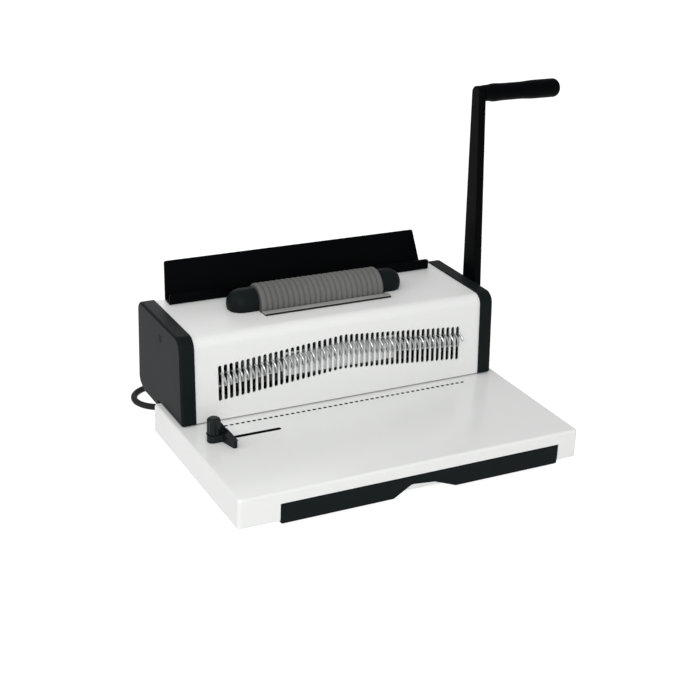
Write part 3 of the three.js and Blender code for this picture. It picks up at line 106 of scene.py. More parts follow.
def grid_faces(rows, columns, wrap_rows=False, wrap_columns=False):
    """Cell (i, j) joins points (i, j), (i, j+1), (i+1, j+1) and (i+1, j); a wrapped side meets its start."""
    i = np.arange(rows if wrap_rows else rows - 1)[:, None]
    j = np.arange(columns if wrap_columns else columns - 1)[None, :]
    down = (i + 1) % rows
    right = (j + 1) % columns
    here = i * columns
    below = down * columns
    quads = np.stack([here + j, here + right, below + right, below + j], axis=-1)
    return quads.reshape(-1, 4).tolist()


def bare_mesh(name, points, faces):
    """Points in frame metres and faces as a mesh, with its doubles merged and its faces turned outwards."""
    mesh = bpy.data.meshes.new(name)
    mesh.from_pydata(np.asarray(points, float).reshape(-1, 3).tolist(), [], faces)
    edit = bmesh.new()
    edit.from_mesh(mesh)
    bmesh.ops.remove_doubles(edit, verts=edit.verts, dist=MERGE)
    bmesh.ops.recalc_face_normals(edit, faces=edit.faces)
    edit.to_mesh(mesh)
    edit.free()
    return mesh


def set_out(name, mesh):
    """A mesh as an object of the scene."""
    piece = bpy.data.objects.new(name, mesh)
    bpy.context.scene.collection.objects.link(piece)
    return piece


def solid(name, points, faces):
    """Points in millimetres and faces as a piece of the scene."""
    return set_out(name, bare_mesh(name, at(points), faces))


def settle(piece):
    """Works the piece's modifiers into its mesh."""
    bpy.context.view_layer.update()
    seen = piece.evaluated_get(bpy.context.evaluated_depsgraph_get())
    mesh = bpy.data.meshes.new_from_object(seen)
    piece.modifiers.clear()
    piece.data = mesh


def cut(piece, tool, operation="DIFFERENCE"):
    """Cuts a tool's shape out of a piece, or with UNION joins it on, and removes the tool."""
    modifier = piece.modifiers.new("cut", "BOOLEAN")
    modifier.operation = operation
    modifier.solver = "EXACT"
    modifier.object = tool
    settle(piece)
    bpy.data.objects.remove(tool)
    return piece


# %% [markdown]
# ## Finishing a piece
# No real edge is as sharp as a knife, and a small bevel catches the light along it. Weighted normals then keep
# the flat sides flat. The same function gives the material and sets the piece on the body that carries it.

# %% Finish a piece
SHARP = math.radians(35)
CRISP = 0.25
SOFT = 0.3
BROAD = 0.4
BEVEL_STEPS = 2


def finish_piece(piece, material, body, replaces=(), bevel=0.0):
    """Softens the sharp edges, keeps the flats flat, gives the material and sets the piece on its body."""
    if bevel:
        modifier = piece.modifiers.new("soft_edges", "BEVEL")
        modifier.width = bevel * MM
        modifier.segments = BEVEL_STEPS
        modifier.limit_method = "ANGLE"
        modifier.angle_limit = SHARP
        modifier.harden_normals = False
        settle(piece)
    piece.data.shade_smooth()
    piece.data.set_sharp_from_angle(angle=SHARP)
    weighted = piece.modifiers.new("flat_flats", "WEIGHTED_NORMAL")
    weighted.keep_sharp = True
    piece.data.materials.clear()
    piece.data.materials.append(material)
    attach(piece, body)
    if replaces:
        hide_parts(*replaces)
    print(piece.name, "has", len(piece.data.polygons), "faces")


# %% [markdown]
# ## Outlines and slabs
# Most moulded and sheet pieces are an outline with round corners, carried a little way along one axis with its
# end edges rounded off. When the outline moves in by some distance, a convex corner's radius shrinks by that
# distance and a hollow corner's grows, so every copy of the outline has the same number of points and the copies
# stack into a grid.


# %% Flat directions and round corners
def unit(vectors):
    """Each vector divided by its own length."""
    return vectors / np.linalg.norm(vectors, axis=1)[:, None]


def left_of(ways):
    """Each flat direction (a, b) turned a quarter to the left, which is (-b, a)."""
    return np.stack([-ways[:, 1], ways[:, 0]], axis=1)


def turning(before, after):
    """The signed angle from each flat direction to the next."""
    crossed = before[:, 0] * after[:, 1] - before[:, 1] * after[:, 0]
    return np.arctan2(crossed, (before * after).sum(axis=1))


def corner_arcs(corner, before, after, radius, inset, steps):
    """Round corners between lines with normals m and n: centre = corner + (inset + radius)(m + n) / (1 + m.n).
    Gives the points, centre - radius * normal, and the normals, which turn in even steps from m to n."""
    mitre = (before + after) / (1 + (before * after).sum(axis=1))[:, None]
    centre = corner + mitre * (inset + radius)[:, None]
    first = np.arctan2(before[:, 1], before[:, 0])
    angle = first[:, None] + turning(before, after)[:, None] * np.linspace(0, 1, steps + 1)[None, :]
    normal = np.stack([np.cos(angle), np.sin(angle)], axis=-1)
    return centre[:, None, :] - radius[:, None, None] * normal, normal


# %% Outlines
LEAST_RADIUS = 0.02


def outline(corners, inset=0.0, steps=6):
    """Corners (a, b, radius), counter-clockwise, as one loop; a hollow corner has a negative radius."""
    table = np.array(corners, float)
    here = table[:, :2]
    after = left_of(unit(np.roll(here, -1, axis=0) - here))
    before = np.roll(after, 1, axis=0)
    bend = np.where(turning(before, after) < 0, -1.0, 1.0)
    radius = bend * np.maximum(table[:, 2] - bend * inset, LEAST_RADIUS)
    return corner_arcs(here, before, after, radius, inset, steps)[0].reshape(-1, 2)


def into_axis(flat, along, axis):
    """Points (a, b) at a distance along an axis: X takes (y, z), Y takes (x, z) and Z takes (x, y)."""
    a, b = flat.T
    far = np.full(len(flat), float(along))
    order = {"x": (far, a, b), "y": (a, far, b), "z": (a, b, far)}
    return np.stack(order[axis], axis=1)


# %% Slabs with rounded ends
def rounded_levels(start, end, round_start, round_end, steps):
    """Pairs (distance along, inset): near a rounded end the inset is r(1 - sin t) at a depth of r(1 - cos t)."""
    t = np.linspace(0, math.pi / 2, steps + 1)
    near = [(start, 0.0)]
    if round_start:
        near = list(zip(start + round_start * (1 - np.cos(t)), round_start * (1 - np.sin(t))))
    far = [(end, 0.0)]
    if round_end:
        far = list(zip(end - round_end * (1 - np.cos(t)), round_end * (1 - np.sin(t))))
    return near + far[::-1]


def capped(rows, columns):
    """The faces of a grid of closed loops, with a face over each end."""
    faces = grid_faces(rows, columns, wrap_columns=True)
    faces.append(list(range(columns))[::-1])
    faces.append(list(range((rows - 1) * columns, rows * columns)))
    return faces


def slab_arrays(corners, start, end, axis, round_start=0.0, round_end=0.0, steps=4, arc=6, more_inset=0.0):
    """An outline carried from start to end along an axis, with its end edges rounded: its points and faces."""
    levels = rounded_levels(start, end, round_start, round_end, steps)
    loops = [into_axis(outline(corners, inset + more_inset, arc), along, axis) for along, inset in levels]
    points = np.array(loops)
    return points.reshape(-1, 3), capped(*points.shape[:2])


def slab(name, *shape, **finish):
    """The same outline and its rounded ends as a piece."""
    return solid(name, *slab_arrays(*shape, **finish))


def repeated(name, points, faces, offsets):
    """Copies of one closed shape in one mesh: point + offset for each of the offsets."""
    every = points[None, :, :] + np.asarray(offsets, float)[:, None, :]
    numbers = [[index + copy * len(points) for index in face] for copy in range(len(offsets)) for face in faces]
    return solid(name, every, numbers)


def rectangle(low_a, high_a, low_b, high_b, radius=0.0):
    """The corners of a rectangle, counter-clockwise, each with the same radius."""
    return [(low_a, low_b, radius), (high_a, low_b, radius), (high_a, high_b, radius), (low_a, high_b, radius)]


def box_tool(low, high):
    """A plain block between two corners, as a cutting tool."""
    return slab("tool", rectangle(low[0], high[0], low[1], high[1]), low[2], high[2], "z", arc=1)


# %% [markdown]
# ## Turned, bent and drawn shapes
# A knob, a bore or a grip is a profile turned round a line, as on a lathe. A folded sheet is an open line with
# round bends, doubled at the sheet's thickness. A wire or a lead is a ring drawn along a path.

# %% Turned pieces
ALONG_X = (1.0, 0.0, 0.0)
ALONG_Y = (0.0, 1.0, 0.0)
ALONG_Z = (0.0, 0.0, 1.0)
NEARLY_UPRIGHT = 0.9
ROUND_SIDES = 48
SMALL_SIDES = 24


def turned(name, profile, centre, way=ALONG_X, segments=ROUND_SIDES, flutes=0, flute_depth=0.0, wrap=False):
    """A profile (along, radius) turned round a way: centre + along * way + radius * (cos a * side + sin a * up).
    With flutes, the radius loses depth * (r / R)^4 * (1 + cos(flutes * a)) / 2."""
    profile = np.array(profile, float)
    way = np.array(way, float) / np.linalg.norm(way)
    helper = np.array(ALONG_Z if abs(way[2]) < NEARLY_UPRIGHT else ALONG_X)
    side = np.cross(helper, way)
    side /= np.linalg.norm(side)
    up = np.cross(way, side)
    angle = np.linspace(0, 2 * math.pi, segments, endpoint=False)
    loss = flute_depth * (1 + np.cos(flutes * angle)) / 2
    radius = profile[:, 1:2] - loss[None, :] * (profile[:, 1:2] / profile[:, 1].max()) ** 4
    ring = np.cos(angle)[:, None] * side + np.sin(angle)[:, None] * up
    points = np.array(centre, float) + profile[:, :1, None] * way + radius[:, :, None] * ring[None, :, :]
    return solid(name, points, grid_faces(*points.shape[:2], wrap, True))


def rod(radius, end, start=0.0):
    """The profile of a plain rod or bore: its places (along, radius) from one end's middle to the other's."""
    return [(start, 0), (start, radius), (end, radius), (end, 0)]


# %% Bent strips, arcs and tubes
def bent_strip(corners, thickness, arc=8):
    """An open line with round corners (a, b, radius), and the line moved to its left, as one closed loop."""
    table = np.array(corners, float)
    here = table[:, :2]
    left = left_of(unit(np.diff(here, axis=0)))
    before, after = left[:-1], left[1:]
    radius = np.sign(turning(before, after)) * table[1:-1, 2]
    points, normal = corner_arcs(here[1:-1], before, after, radius, 0.0, arc)
    line = np.vstack([here[:1], points.reshape(-1, 2), here[-1:]])
    normals = np.vstack([left[:1], normal.reshape(-1, 2), left[-1:]])
    return np.vstack([line, (line + thickness * normals)[::-1]])


def swept_strip(name, line, thickness, span):
    """A bent strip's section carried along X from one end of a span to the other."""
    section = bent_strip(line, thickness)
    ends = np.array([into_axis(section, x, "x") for x in span])
    return solid(name, ends, capped(*ends.shape[:2]))


def arc_profile(centre_along, centre_radius, radius, first, last, steps):
    """Points (along, radius) of an arc, with its angles in degrees from the axis' own direction."""
    angle = np.radians(np.linspace(first, last, steps))
    return list(zip(centre_along + radius * np.cos(angle), centre_radius + radius * np.sin(angle)))


def tube_points(path, radius, sides):
    """Rings round a path: radius * (cos a * across + sin a * up); across is carried along and never twists."""
    path = np.asarray(path, float)
    way = unit(np.gradient(path, axis=0))
    frame_across = np.zeros_like(path)
    start = np.array(ALONG_Z if abs(way[0][2]) < NEARLY_UPRIGHT else ALONG_X)
    for index, direction in enumerate(way):
        start = start - direction * start.dot(direction)
        start /= np.linalg.norm(start)
        frame_across[index] = start
    frame_up = np.cross(way, frame_across)
    angle = np.linspace(0, 2 * math.pi, sides, endpoint=False)[None, :, None]
    ring = np.cos(angle) * frame_across[:, None, :] + np.sin(angle) * frame_up[:, None, :]
    radius = np.broadcast_to(np.asarray(radius, float), (len(path),))
    return path[:, None, :] + radius[:, None, None] * ring


def tube(name, path, radius, sides):
    """A closed round tube along a path in millimetres."""
    points = tube_points(path, radius, sides)
    return solid(name, points, capped(len(points), sides))


# %% [markdown]
# ## The mains lead
# A mains lead has a fixed length. It leaves the back of the base through a tapered relief, falls to the ground,
# bends round behind the left cap and runs into a flat coil that is put away behind the machine, with its plug
# beside it. The route repeats the CAD model's points; a Catmull-Rom curve goes through them, as it does there.

# %% The lead's route
CORD = 7.0
CORD_GROUND = CORD / 2
COIL_GAP = 0.7
COIL_PITCH = CORD + COIL_GAP
COIL_OUTER = 49.0
COIL_TURNS = 2.5
REAR_RUN = 184.0
COIL_X = -20.0
COIL_Y = REAR_RUN - COIL_OUTER
COIL_STEPS = 48
CLIMB = 0.5  # of a turn, from the lower layer to the upper one
PLUG_RADIUS = 18.2
PLUG_LIFT = 18.8
TAIL = 45.0
TAIL_STEPS = 12
LEAD_X = -110.0
LEAD_Z = 21.0
ROUTE_STEPS = 6
FALL = [
    (LEAD_X, 80.3, LEAD_Z), (LEAD_X, 88, 20.5), (-111, 96, 17.5), (-114, 104, 13), (-119, 111, 8.5),
    (-126, 117, 5.4), (-134, 121, 4.2),
]
BEND = [
    (-142, 123.4), (-150, 124.6), (-157, 125.2), (-164.5, 126.7), (-171.5, 130.5), (-177.5, 136), (-181.8, 143),
    (-183.8, 151), (-183, 159.5), (-179.5, 167.5), (-173.6, 174), (-166, 178.7), (-157, 181.6), (-146, 183.2),
]
REAR_STOPS = (-130, -105, -80, -56, -36, COIL_X - CORD)
GROUND_RUN = BEND + [(x, REAR_RUN) for x in REAR_STOPS]
ROUTE = FALL + [(x, y, CORD_GROUND) for x, y in GROUND_RUN]
print("the lead's route has", len(ROUTE), "points")


# %% Curves and the lead's path
def way_along(path, power=1.0):
    """How far each point of a path is from its start, as the sum of its steps' lengths, each to a power."""
    lengths = np.linalg.norm(np.diff(path, axis=0), axis=1)
    return np.concatenate([[0], np.cumsum(lengths**power)])


def through(points, steps):
    """A centripetal Catmull-Rom curve: weighted means of means of four points, over root-length knots."""
    given = np.asarray(points, float)
    full = np.vstack([2 * given[0] - given[1], given, 2 * given[-1] - given[-2]])
    knots = way_along(full, 0.5)
    share = np.linspace(0, 1, steps, endpoint=False)
    t0, t1, t2, t3 = (knots[k : len(knots) - 3 + k, None, None] for k in range(4))
    p0, p1, p2, p3 = (full[k : len(full) - 3 + k, None, :] for k in range(4))
    t = t1 + (t2 - t1) * share[None, :, None]
    a1 = (t1 - t) / (t1 - t0) * p0 + (t - t0) / (t1 - t0) * p1
    a2 = (t2 - t) / (t2 - t1) * p1 + (t - t1) / (t2 - t1) * p2
    a3 = (t3 - t) / (t3 - t2) * p2 + (t - t2) / (t3 - t2) * p3
    b1 = (t2 - t) / (t2 - t0) * a1 + (t - t0) / (t2 - t0) * a2
    b2 = (t3 - t) / (t3 - t1) * a2 + (t - t1) / (t3 - t1) * a3
    curve = (t2 - t) / (t2 - t1) * b1 + (t - t1) / (t2 - t1) * b2
    return curve.reshape(-1, 3)


def smooth(t):
    """The S-shaped step 3t^2 - 2t^3, held at 0 and 1 outside."""
    t = np.clip(t, 0, 1)
    return t * t * (3 - 2 * t)


def coil_path():
    """Two layers of turns, radius outer - pitch * turns, in along the ground and out again one pitch higher."""
    turns = 2 * COIL_TURNS
    s = np.linspace(0, turns, round(turns * COIL_STEPS) + 1)
    angle = math.pi / 2 - 2 * math.pi * s
    radius = COIL_OUTER - COIL_PITCH * np.minimum(s, turns - s)
    z = CORD_GROUND + COIL_PITCH * smooth((s - COIL_TURNS) / CLIMB + 0.5)
    coil = np.stack([COIL_X + radius * np.cos(angle), COIL_Y + radius * np.sin(angle), z], axis=1)
    share = np.linspace(0, 1, TAIL_STEPS + 1)[1:]
    tail_z = coil[-1, 2] + (PLUG_LIFT - coil[-1, 2]) * smooth(share)
    tail = np.stack([COIL_X + TAIL * share, np.full(TAIL_STEPS, REAR_RUN), tail_z], axis=1)
    last = tail[-1] + np.array([CORD, 0, 0])
    return np.vstack([coil, tail, last])


cord_path = np.vstack([through(ROUTE, ROUTE_STEPS), coil_path()])
cord_path[:, 2] = np.maximum(cord_path[:, 2], CORD_GROUND)

# %% [markdown]
# ## Shared effects
# Moulded plastic is never quite smooth: it has a fine grain and faint waves. Painted steel has orange peel, and
# metal and rubber have a grain of their own. One node group gives a height, a roughness and a cloud of light and
# dark from Object coordinates, and each material places it with its own values.


# %% Node helpers
def new_group(name, inputs, outputs):
    """A shader node group with named sockets; gives the group and its two end nodes."""
    group = bpy.data.node_groups.new(name, "ShaderNodeTree")
    for label, kind, value in inputs:
        socket = group.interface.new_socket(label, in_out="INPUT", socket_type=kind)
        if value is not None:
            socket.default_value = value
    for label, kind in outputs:
        group.interface.new_socket(label, in_out="OUTPUT", socket_type=kind)
    return group, group.nodes.new("NodeGroupInput"), group.nodes.new("NodeGroupOutput")


def feed(tree, value, socket):
    """Gives a socket a number or a colour, or links another socket to it."""
    if isinstance(value, tuple):
        socket.default_value = (*value, 1)
    elif isinstance(value, (int, float)):
        socket.default_value = value
    else:
        tree.links.new(value, socket)


def math_node(tree, operation, *values):
    """A Math node whose inputs are numbers or sockets; gives its result."""
    node = tree.nodes.new("ShaderNodeMath")
    node.operation = operation
    for index, value in enumerate(values):
        feed(tree, value, node.inputs[index])
    return node.outputs["Value"]


def noise(tree, coordinates, scale, detail=2.0):
    """A noise pattern over the coordinates, as a value from 0 to 1."""
    node = tree.nodes.new("ShaderNodeTexNoise")
    node.inputs["Detail"].default_value = detail
    feed(tree, scale, node.inputs["Scale"])
    tree.links.new(coordinates, node.inputs["Vector"])
    return node.outputs["Fac"]


# %% The grain group
WAVE_SCALE = 14.0
WAVE_DETAIL = 3.0
WAVE_SHARE = 0.1


def make_grain():
    """Height = fine noise plus a tenth of slow waves; Roughness = base plus spread times slow noise."""
    group, enter, leave = new_group(
        "moulded_grain",
        [
            ("Vector", "NodeSocketVector", None),
            ("Fineness", "NodeSocketFloat", 1800.0),
            ("Base Roughness", "NodeSocketFloat", 0.4),
            ("Spread", "NodeSocketFloat", 0.1),
        ],
        [("Height", "NodeSocketFloat"), ("Roughness", "NodeSocketFloat"), ("Cloud", "NodeSocketFloat")],
    )
    fine = noise(group, enter.outputs["Vector"], enter.outputs["Fineness"])
    slow = noise(group, enter.outputs["Vector"], WAVE_SCALE, WAVE_DETAIL)
    height = math_node(group, "MULTIPLY_ADD", slow, WAVE_SHARE, fine)
    offset = math_node(group, "SUBTRACT", slow, 0.5)
    rough = math_node(group, "MULTIPLY_ADD", offset, enter.outputs["Spread"], enter.outputs["Base Roughness"])
    group.links.new(height, leave.inputs["Height"])
    group.links.new(rough, leave.inputs["Roughness"])
    group.links.new(slow, leave.inputs["Cloud"])
    return group


grain_group = make_grain()
print(grain_group.name, "has", len(grain_group.nodes), "nodes")


# %% Material helpers
def principled(name, colour, metallic=0.0):
    """A new node material with its Principled BSDF; gives the material, its tree and the shader."""
    material = bpy.data.materials.new(name)
    material.use_nodes = True
    tree = material.node_tree
    shader = tree.nodes["Principled BSDF"]
    shader.inputs["Base Color"].default_value = (*colour, 1)
    shader.inputs["Metallic"].default_value = metallic
    return material, tree, shader


def place_group(tree, group, **values):
    """The group as a node with its inputs set."""
    node = tree.nodes.new("ShaderNodeGroup")
    node.node_tree = group
    for label, value in values.items():
        node.inputs[label.replace("_", " ")].default_value = value
    return node


def object_coordinates(tree):
    """The Object coordinates of the piece."""
    return tree.nodes.new("ShaderNodeTexCoord").outputs["Object"]


def bump(tree, height, strength, distance):
    """A Bump node over a height; gives its normal."""
    node = tree.nodes.new("ShaderNodeBump")
    node.inputs["Strength"].default_value = strength
    node.inputs["Distance"].default_value = distance
    tree.links.new(height, node.inputs["Height"])
    return node.outputs["Normal"]


def blend_colour(tree, factor, first, second):
    """A mix of two colours by a factor socket; a colour is three numbers or a socket."""
    node = tree.nodes.new("ShaderNodeMix")
    node.data_type = "RGBA"
    for label, colour in (("A", first), ("B", second)):
        feed(tree, colour, [s for s in node.inputs if s.name == label and s.type == "RGBA"][0])
    tree.links.new(factor, [s for s in node.inputs if s.name == "Factor" and s.type == "VALUE"][0])
    return [s for s in node.outputs if s.type == "RGBA"][0]


# %% A grained finish
def grained(name, dark, light, roughness, spread, fineness, strength, depth, metallic=0.0, specular=0.5):
    """A moulded or painted finish: grain in the normal, a cloud in colour and roughness."""
    material, tree, shader = principled(name, light, metallic)
    grain = place_group(tree, grain_group, Fineness=fineness, Base_Roughness=roughness, Spread=spread)
    tree.links.new(object_coordinates(tree), grain.inputs["Vector"])
    tree.links.new(grain.outputs["Roughness"], shader.inputs["Roughness"])
    tree.links.new(blend_colour(tree, grain.outputs["Cloud"], dark, light), shader.inputs["Base Color"])
    tree.links.new(bump(tree, grain.outputs["Height"], strength, depth), shader.inputs["Normal"])
    shader.inputs["Specular IOR Level"].default_value = specular
    return material


# %% [markdown]
# ## Finishes
# Each finish has a darker and a lighter tone, a roughness with some spread, and a grain that is so fine, strong
# and deep. The black mouldings have a low specular level, because the white room would turn them grey.

# %% White and black finishes
white_plastic = grained(
    "white_plastic", (0.7, 0.71, 0.7), (0.74, 0.745, 0.735),
    roughness=0.2, spread=0.08, fineness=1500, strength=0.1, depth=0.00002,
)
white_paint = grained(
    "white_paint", (0.69, 0.7, 0.69), (0.73, 0.735, 0.725),
    roughness=0.36, spread=0.06, fineness=900, strength=0.25, depth=0.00003,
)
MOULDED = {
    "dark": (0.005, 0.0075, 0.008), "light": (0.0075, 0.0105, 0.0115),
    "spread": 0.1, "fineness": 2200, "strength": 0.4, "depth": 0.00006,
}
black_plastic = grained("black_plastic", **MOULDED, roughness=0.42, specular=0.04)
knob_plastic = grained("knob_plastic", **MOULDED, roughness=0.25, specular=0.14)
black_paint = grained(
    "black_paint", (0.001, 0.0012, 0.0015), (0.002, 0.0022, 0.0026),
    roughness=0.38, spread=0.1, fineness=1600, strength=0.3, depth=0.00005, specular=0.02,
)
roller_rubber = grained(
    "roller_rubber", (0.095, 0.096, 0.092), (0.14, 0.14, 0.134),
    roughness=0.7, spread=0.12, fineness=2600, strength=0.8, depth=0.0001, specular=0.2,
)
black_rubber = grained(
    "black_rubber", (0.008, 0.008, 0.008), (0.014, 0.014, 0.014),
    roughness=0.7, spread=0.15, fineness=1800, strength=0.6, depth=0.0001, specular=0.25,
)
print("white, black and rubber finishes made")

# %% Metal finishes
DRAWN = {"fineness": 900, "strength": 0.2, "depth": 0.00003}
bright_steel = grained(
    "bright_steel", (0.6, 0.61, 0.61), (0.76, 0.76, 0.75), roughness=0.28, spread=0.12, metallic=1.0, **DRAWN
)
coil_wire = grained(
    "coil_wire", (0.4, 0.41, 0.41), (0.55, 0.56, 0.56), roughness=0.3, spread=0.1, metallic=1.0, **DRAWN
)
brushed_steel = grained(
    "brushed_steel", (0.5, 0.5, 0.49), (0.62, 0.62, 0.61), roughness=0.4, spread=0.1, metallic=0.65, **DRAWN
)
zinc = grained(
    "zinc", (0.74, 0.76, 0.76), (0.86, 0.88, 0.88),
    roughness=0.5, spread=0.1, fineness=600, strength=0.2, depth=0.00003,
)
dark_steel = grained(
    "dark_steel", (0.02, 0.02, 0.022), (0.05, 0.05, 0.05),
    roughness=0.45, spread=0.15, fineness=1200, strength=0.3, depth=0.00004, metallic=1.0,
)
brass = grained(
    "brass", (0.42, 0.28, 0.1), (0.55, 0.38, 0.15),
    roughness=0.35, spread=0.15, fineness=1200, strength=0.3, depth=0.00003, metallic=1.0,
)
print("metal finishes made")

# %% Finishes on the frame's own pieces
plain = {
    white_plastic: ["base_shell"],
    white_paint: ["housing_cover"],
    roller_rubber: ["roller_sleeve"],
    black_paint: ["rest_trough", "lever_hub", "lever_arm", "left_cap_screw", "right_cap_screw"],
    brass: ["roller_pulley", "motor_pulley", "left_bush", "right_bush"],
    bright_steel: ["chip_tray", "tray_wall_front", "tray_wall_rear", "tray_wall_left", "tray_wall_right",
                   "die_plate", "paper_stop", "guide_pillar_left", "guide_pillar_right", "cam_shaft",
                   "left_frame_plate", "right_frame_plate", "spring_hanger", "return_spring_left",
                   "return_spring_right", "binding_coil", "roller_shaft", "roller_lip", "roller_cradle",
                   "guide_nut"],
    zinc: ["base_pan"],
    dark_steel: ["guide_plate", "punch_bar", "left_cam", "right_cam", "roller_motor"],
    black_plastic: ["drawer_front", "drawer_rail_left", "drawer_rail_right", "left_cap", "right_cap",
                    "left_roller_block", "right_roller_block", "lever_grip", "side_guide", "guide_knob",
                    "switch_frame"],
    black_rubber: ["foot_front_left", "foot_front_right", "foot_rear_left", "foot_rear_right", "drive_belt",
                   "switch_rocker", "strain_relief", "mains_cord", "cord_coil", "mains_plug"],
}
for material, names in plain.items():
    for name in names:
        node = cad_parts[name]
        node.data.materials.clear()
        node.data.materials.append(material)
print(sum(len(names) for names in plain.values()), "pieces of the frame have a finish")

# %% [markdown]
# ## The table
# The table is one moulding, open below. A rectangle with round corners is carried upward, and its top edge rolls
# over in a quarter circle. The hollow, the drawer's mouth, the die's room, the guide's slot and the lead's hole
# are cut out of it. A black rim lines the slot as painted shade, so that the slot reads dark, and a printed row
# of dashes marks where the holes fall.

# %% The table's sizes
PITCH = 6.35
SLOTS = 46
HALF_ROW = (SLOTS - 1) * PITCH / 2
ROW_X = PITCH * np.arange(SLOTS) - HALF_ROW
TABLE_LEFT = -193.0
TABLE_RIGHT = 194.8
TABLE_FRONT = -163.0
TABLE_REAR = 66.0
TABLE_FOOT = 9.0
DECK = 40.0
TABLE_WALL = 3.0
TABLE_CORNER = 4.0
TABLE_OUTLINE = rectangle(TABLE_LEFT, TABLE_RIGHT, TABLE_FRONT, TABLE_REAR, TABLE_CORNER)
TABLE_EDGE = 3.0
MOUTH = ((-149.0, -168.0, 8.0), (171.0, -155.0, 27.1))
DIE_ROOM = ((-160.4, 3.0, 36.0), (160.4, 23.0, 41.0))
GUIDE_SLOT = rectangle(-170.3, -92.7, -42.35, -37.65, 2.3)
BOSS_X = 181.0
BOSS_Y = (-133.0, 36.0)
BOSS_FOOT = 10.8
BOSS = rod(6.0, 27.7)
LEAD_HOLE = rod(6.5, 10.0)
LEAD_PLACE = (LEAD_X, 60.0, LEAD_Z)
print("table:", round(TABLE_RIGHT - TABLE_LEFT, 1), "by", TABLE_REAR - TABLE_FRONT, "mm")


# %% Table
def make_table():
    """A rounded block, less its hollow, mouth, die room, slot and lead's hole, with a boss in each corner."""
    table = slab("table", TABLE_OUTLINE, TABLE_FOOT, DECK, "z", round_end=TABLE_EDGE, arc=8)
    cut(table, slab("hollow", TABLE_OUTLINE, 0.0, DECK - TABLE_WALL, "z", more_inset=TABLE_WALL))
    for x in (-BOSS_X, BOSS_X):
        for y in BOSS_Y:
            cut(table, turned("boss", BOSS, (x, y, BOSS_FOOT), ALONG_Z, SMALL_SIDES), "UNION")
    for low, high in (MOUTH, DIE_ROOM):
        cut(table, box_tool(low, high))
    cut(table, slab("slot", GUIDE_SLOT, DECK - 2 * TABLE_WALL, DECK + TABLE_WALL, "z"))
    return cut(table, turned("hole", LEAD_HOLE, LEAD_PLACE, ALONG_Y, segments=32))


finish_piece(make_table(), white_plastic, "machine", ["base_shell"], bevel=BROAD)

# %% The slot's black rim, which is painted shade, and the printed dashes
SLOT_SHADE_RIM = [(37.1, 0.0), (40.0, 0.0), (40.0, -0.2), (40.1, -0.2), (40.1, 0.2), (37.1, 0.2)]
DASH = rectangle(-1.9, 1.9, -14.5, -11.5, 0.4)
PRINT_THICK = 0.05


def make_shade_rim():
    """Loops of the slot's outline at their height and inset, joined round into a closed ring; its black is
    painted shade inside the slot.
    """
    loops = np.array([into_axis(outline(GUIDE_SLOT, inset, 8), z, "z") for z, inset in SLOT_SHADE_RIM])
    return solid("slot_shade_rim", loops, grid_faces(*loops.shape[:2], True, True))


# The rim is black: painted shade inside the guide's slot.
finish_piece(make_shade_rim(), black_plastic, "machine")
dash, dash_faces = slab_arrays(DASH, DECK - PRINT_THICK, DECK + PRINT_THICK, "z", arc=2)
marks = repeated("hole_marks", dash, dash_faces, np.column_stack([ROW_X, 0 * ROW_X, 0 * ROW_X]))
finish_piece(marks, black_plastic, "machine")
print(SLOTS, "dashes,", round(2 * HALF_ROW, 2), "mm from the first to the last")

# %% [markdown]
# ## The drawer's front
# The drawer's front is a moulded strip with a shallow arched notch for the fingers. One outline with round and
# hollow corners gives both, and the edges that face forward are rolled over.

# %% Drawer front
DRAWER_OUTLINE = [
    (-148.5, 5, 2), (-25, 5, 3), (-5, 17.3, 9), (22, 14.6, 14), (47, 5, 2.5), (170.5, 5, 2), (170.5, 26.6, 2),
    (-148.5, 26.6, 2),
]
DRAWER_SPAN = (-163.5, -159.5)
DRAWER_EDGE = 0.9
drawer = slab("drawer_face", DRAWER_OUTLINE, *DRAWER_SPAN, "y", round_start=DRAWER_EDGE, arc=8)
finish_piece(drawer, black_plastic, "drawer", ["drawer_front"])

# %% [markdown]
# ## The housing
# The housing is one steel sheet, folded lengthways: up the leaning face, over the top and down the back. Its
# section is an open line with round bends and the same line moved inwards by the sheet's thickness. The slots
# stand side by side up the face, and their feet follow a low arch. They are cut by one mesh of 46 closed shapes.

# %% The face, a plane that leans back
FACE_LEAN = math.radians(4)
SHEET = 1.5
HALF_HOUSING = 171.0
HOUSING_TOP = 133.0


def on_face(points):
    """Points (x, behind, up) of an upright face, leaned back: y = up sin a + behind cos a, z likewise."""
    x, behind, up = np.asarray(points, float).T
    y = up * math.sin(FACE_LEAN) + behind * math.cos(FACE_LEAN)
    z = DECK + up * math.cos(FACE_LEAN) - behind * math.sin(FACE_LEAN)
    return np.stack([x, y, z], axis=1)


# %% The cover's sizes
FACE_LIFT = 1.4
FACE_FOOT = on_face([(0, 0, FACE_LIFT)])[0]
FACE_HEAD = on_face([(0, 0, (HOUSING_TOP - DECK) / math.cos(FACE_LEAN))])[0]
COVER_LINE = [
    (FACE_FOOT[1], FACE_FOOT[2], 0),
    (FACE_HEAD[1], FACE_HEAD[2], 12),
    (128, HOUSING_TOP, 6),
    (128, 33, 4),
    (67.5, 33, 0),
]
SLOT_HEAD = 61.0
SLOT_OUTLINE = rectangle(-2.0, 2.0, 22.0, SLOT_HEAD, 2.0)
SLOT_CUT = (-3.0, 5.0)
SLOT_RISE = 12.4
OPENING = ((-77.2, 46.2, 128.0), (75.4, 91.0, 138.0))
BELT_WAY = ((-92.5, 56.9, 128.0), (-83.5, 81.5, 138.0))
SWITCH_HOLE = ((111.5, 120.0, 67.5), (128.5, 135.0, 92.5))
slot_rises = SLOT_RISE * (1 - np.abs(ROW_X) / HALF_ROW)
print("the middle slots stand", SLOT_RISE, "mm higher than the end ones")


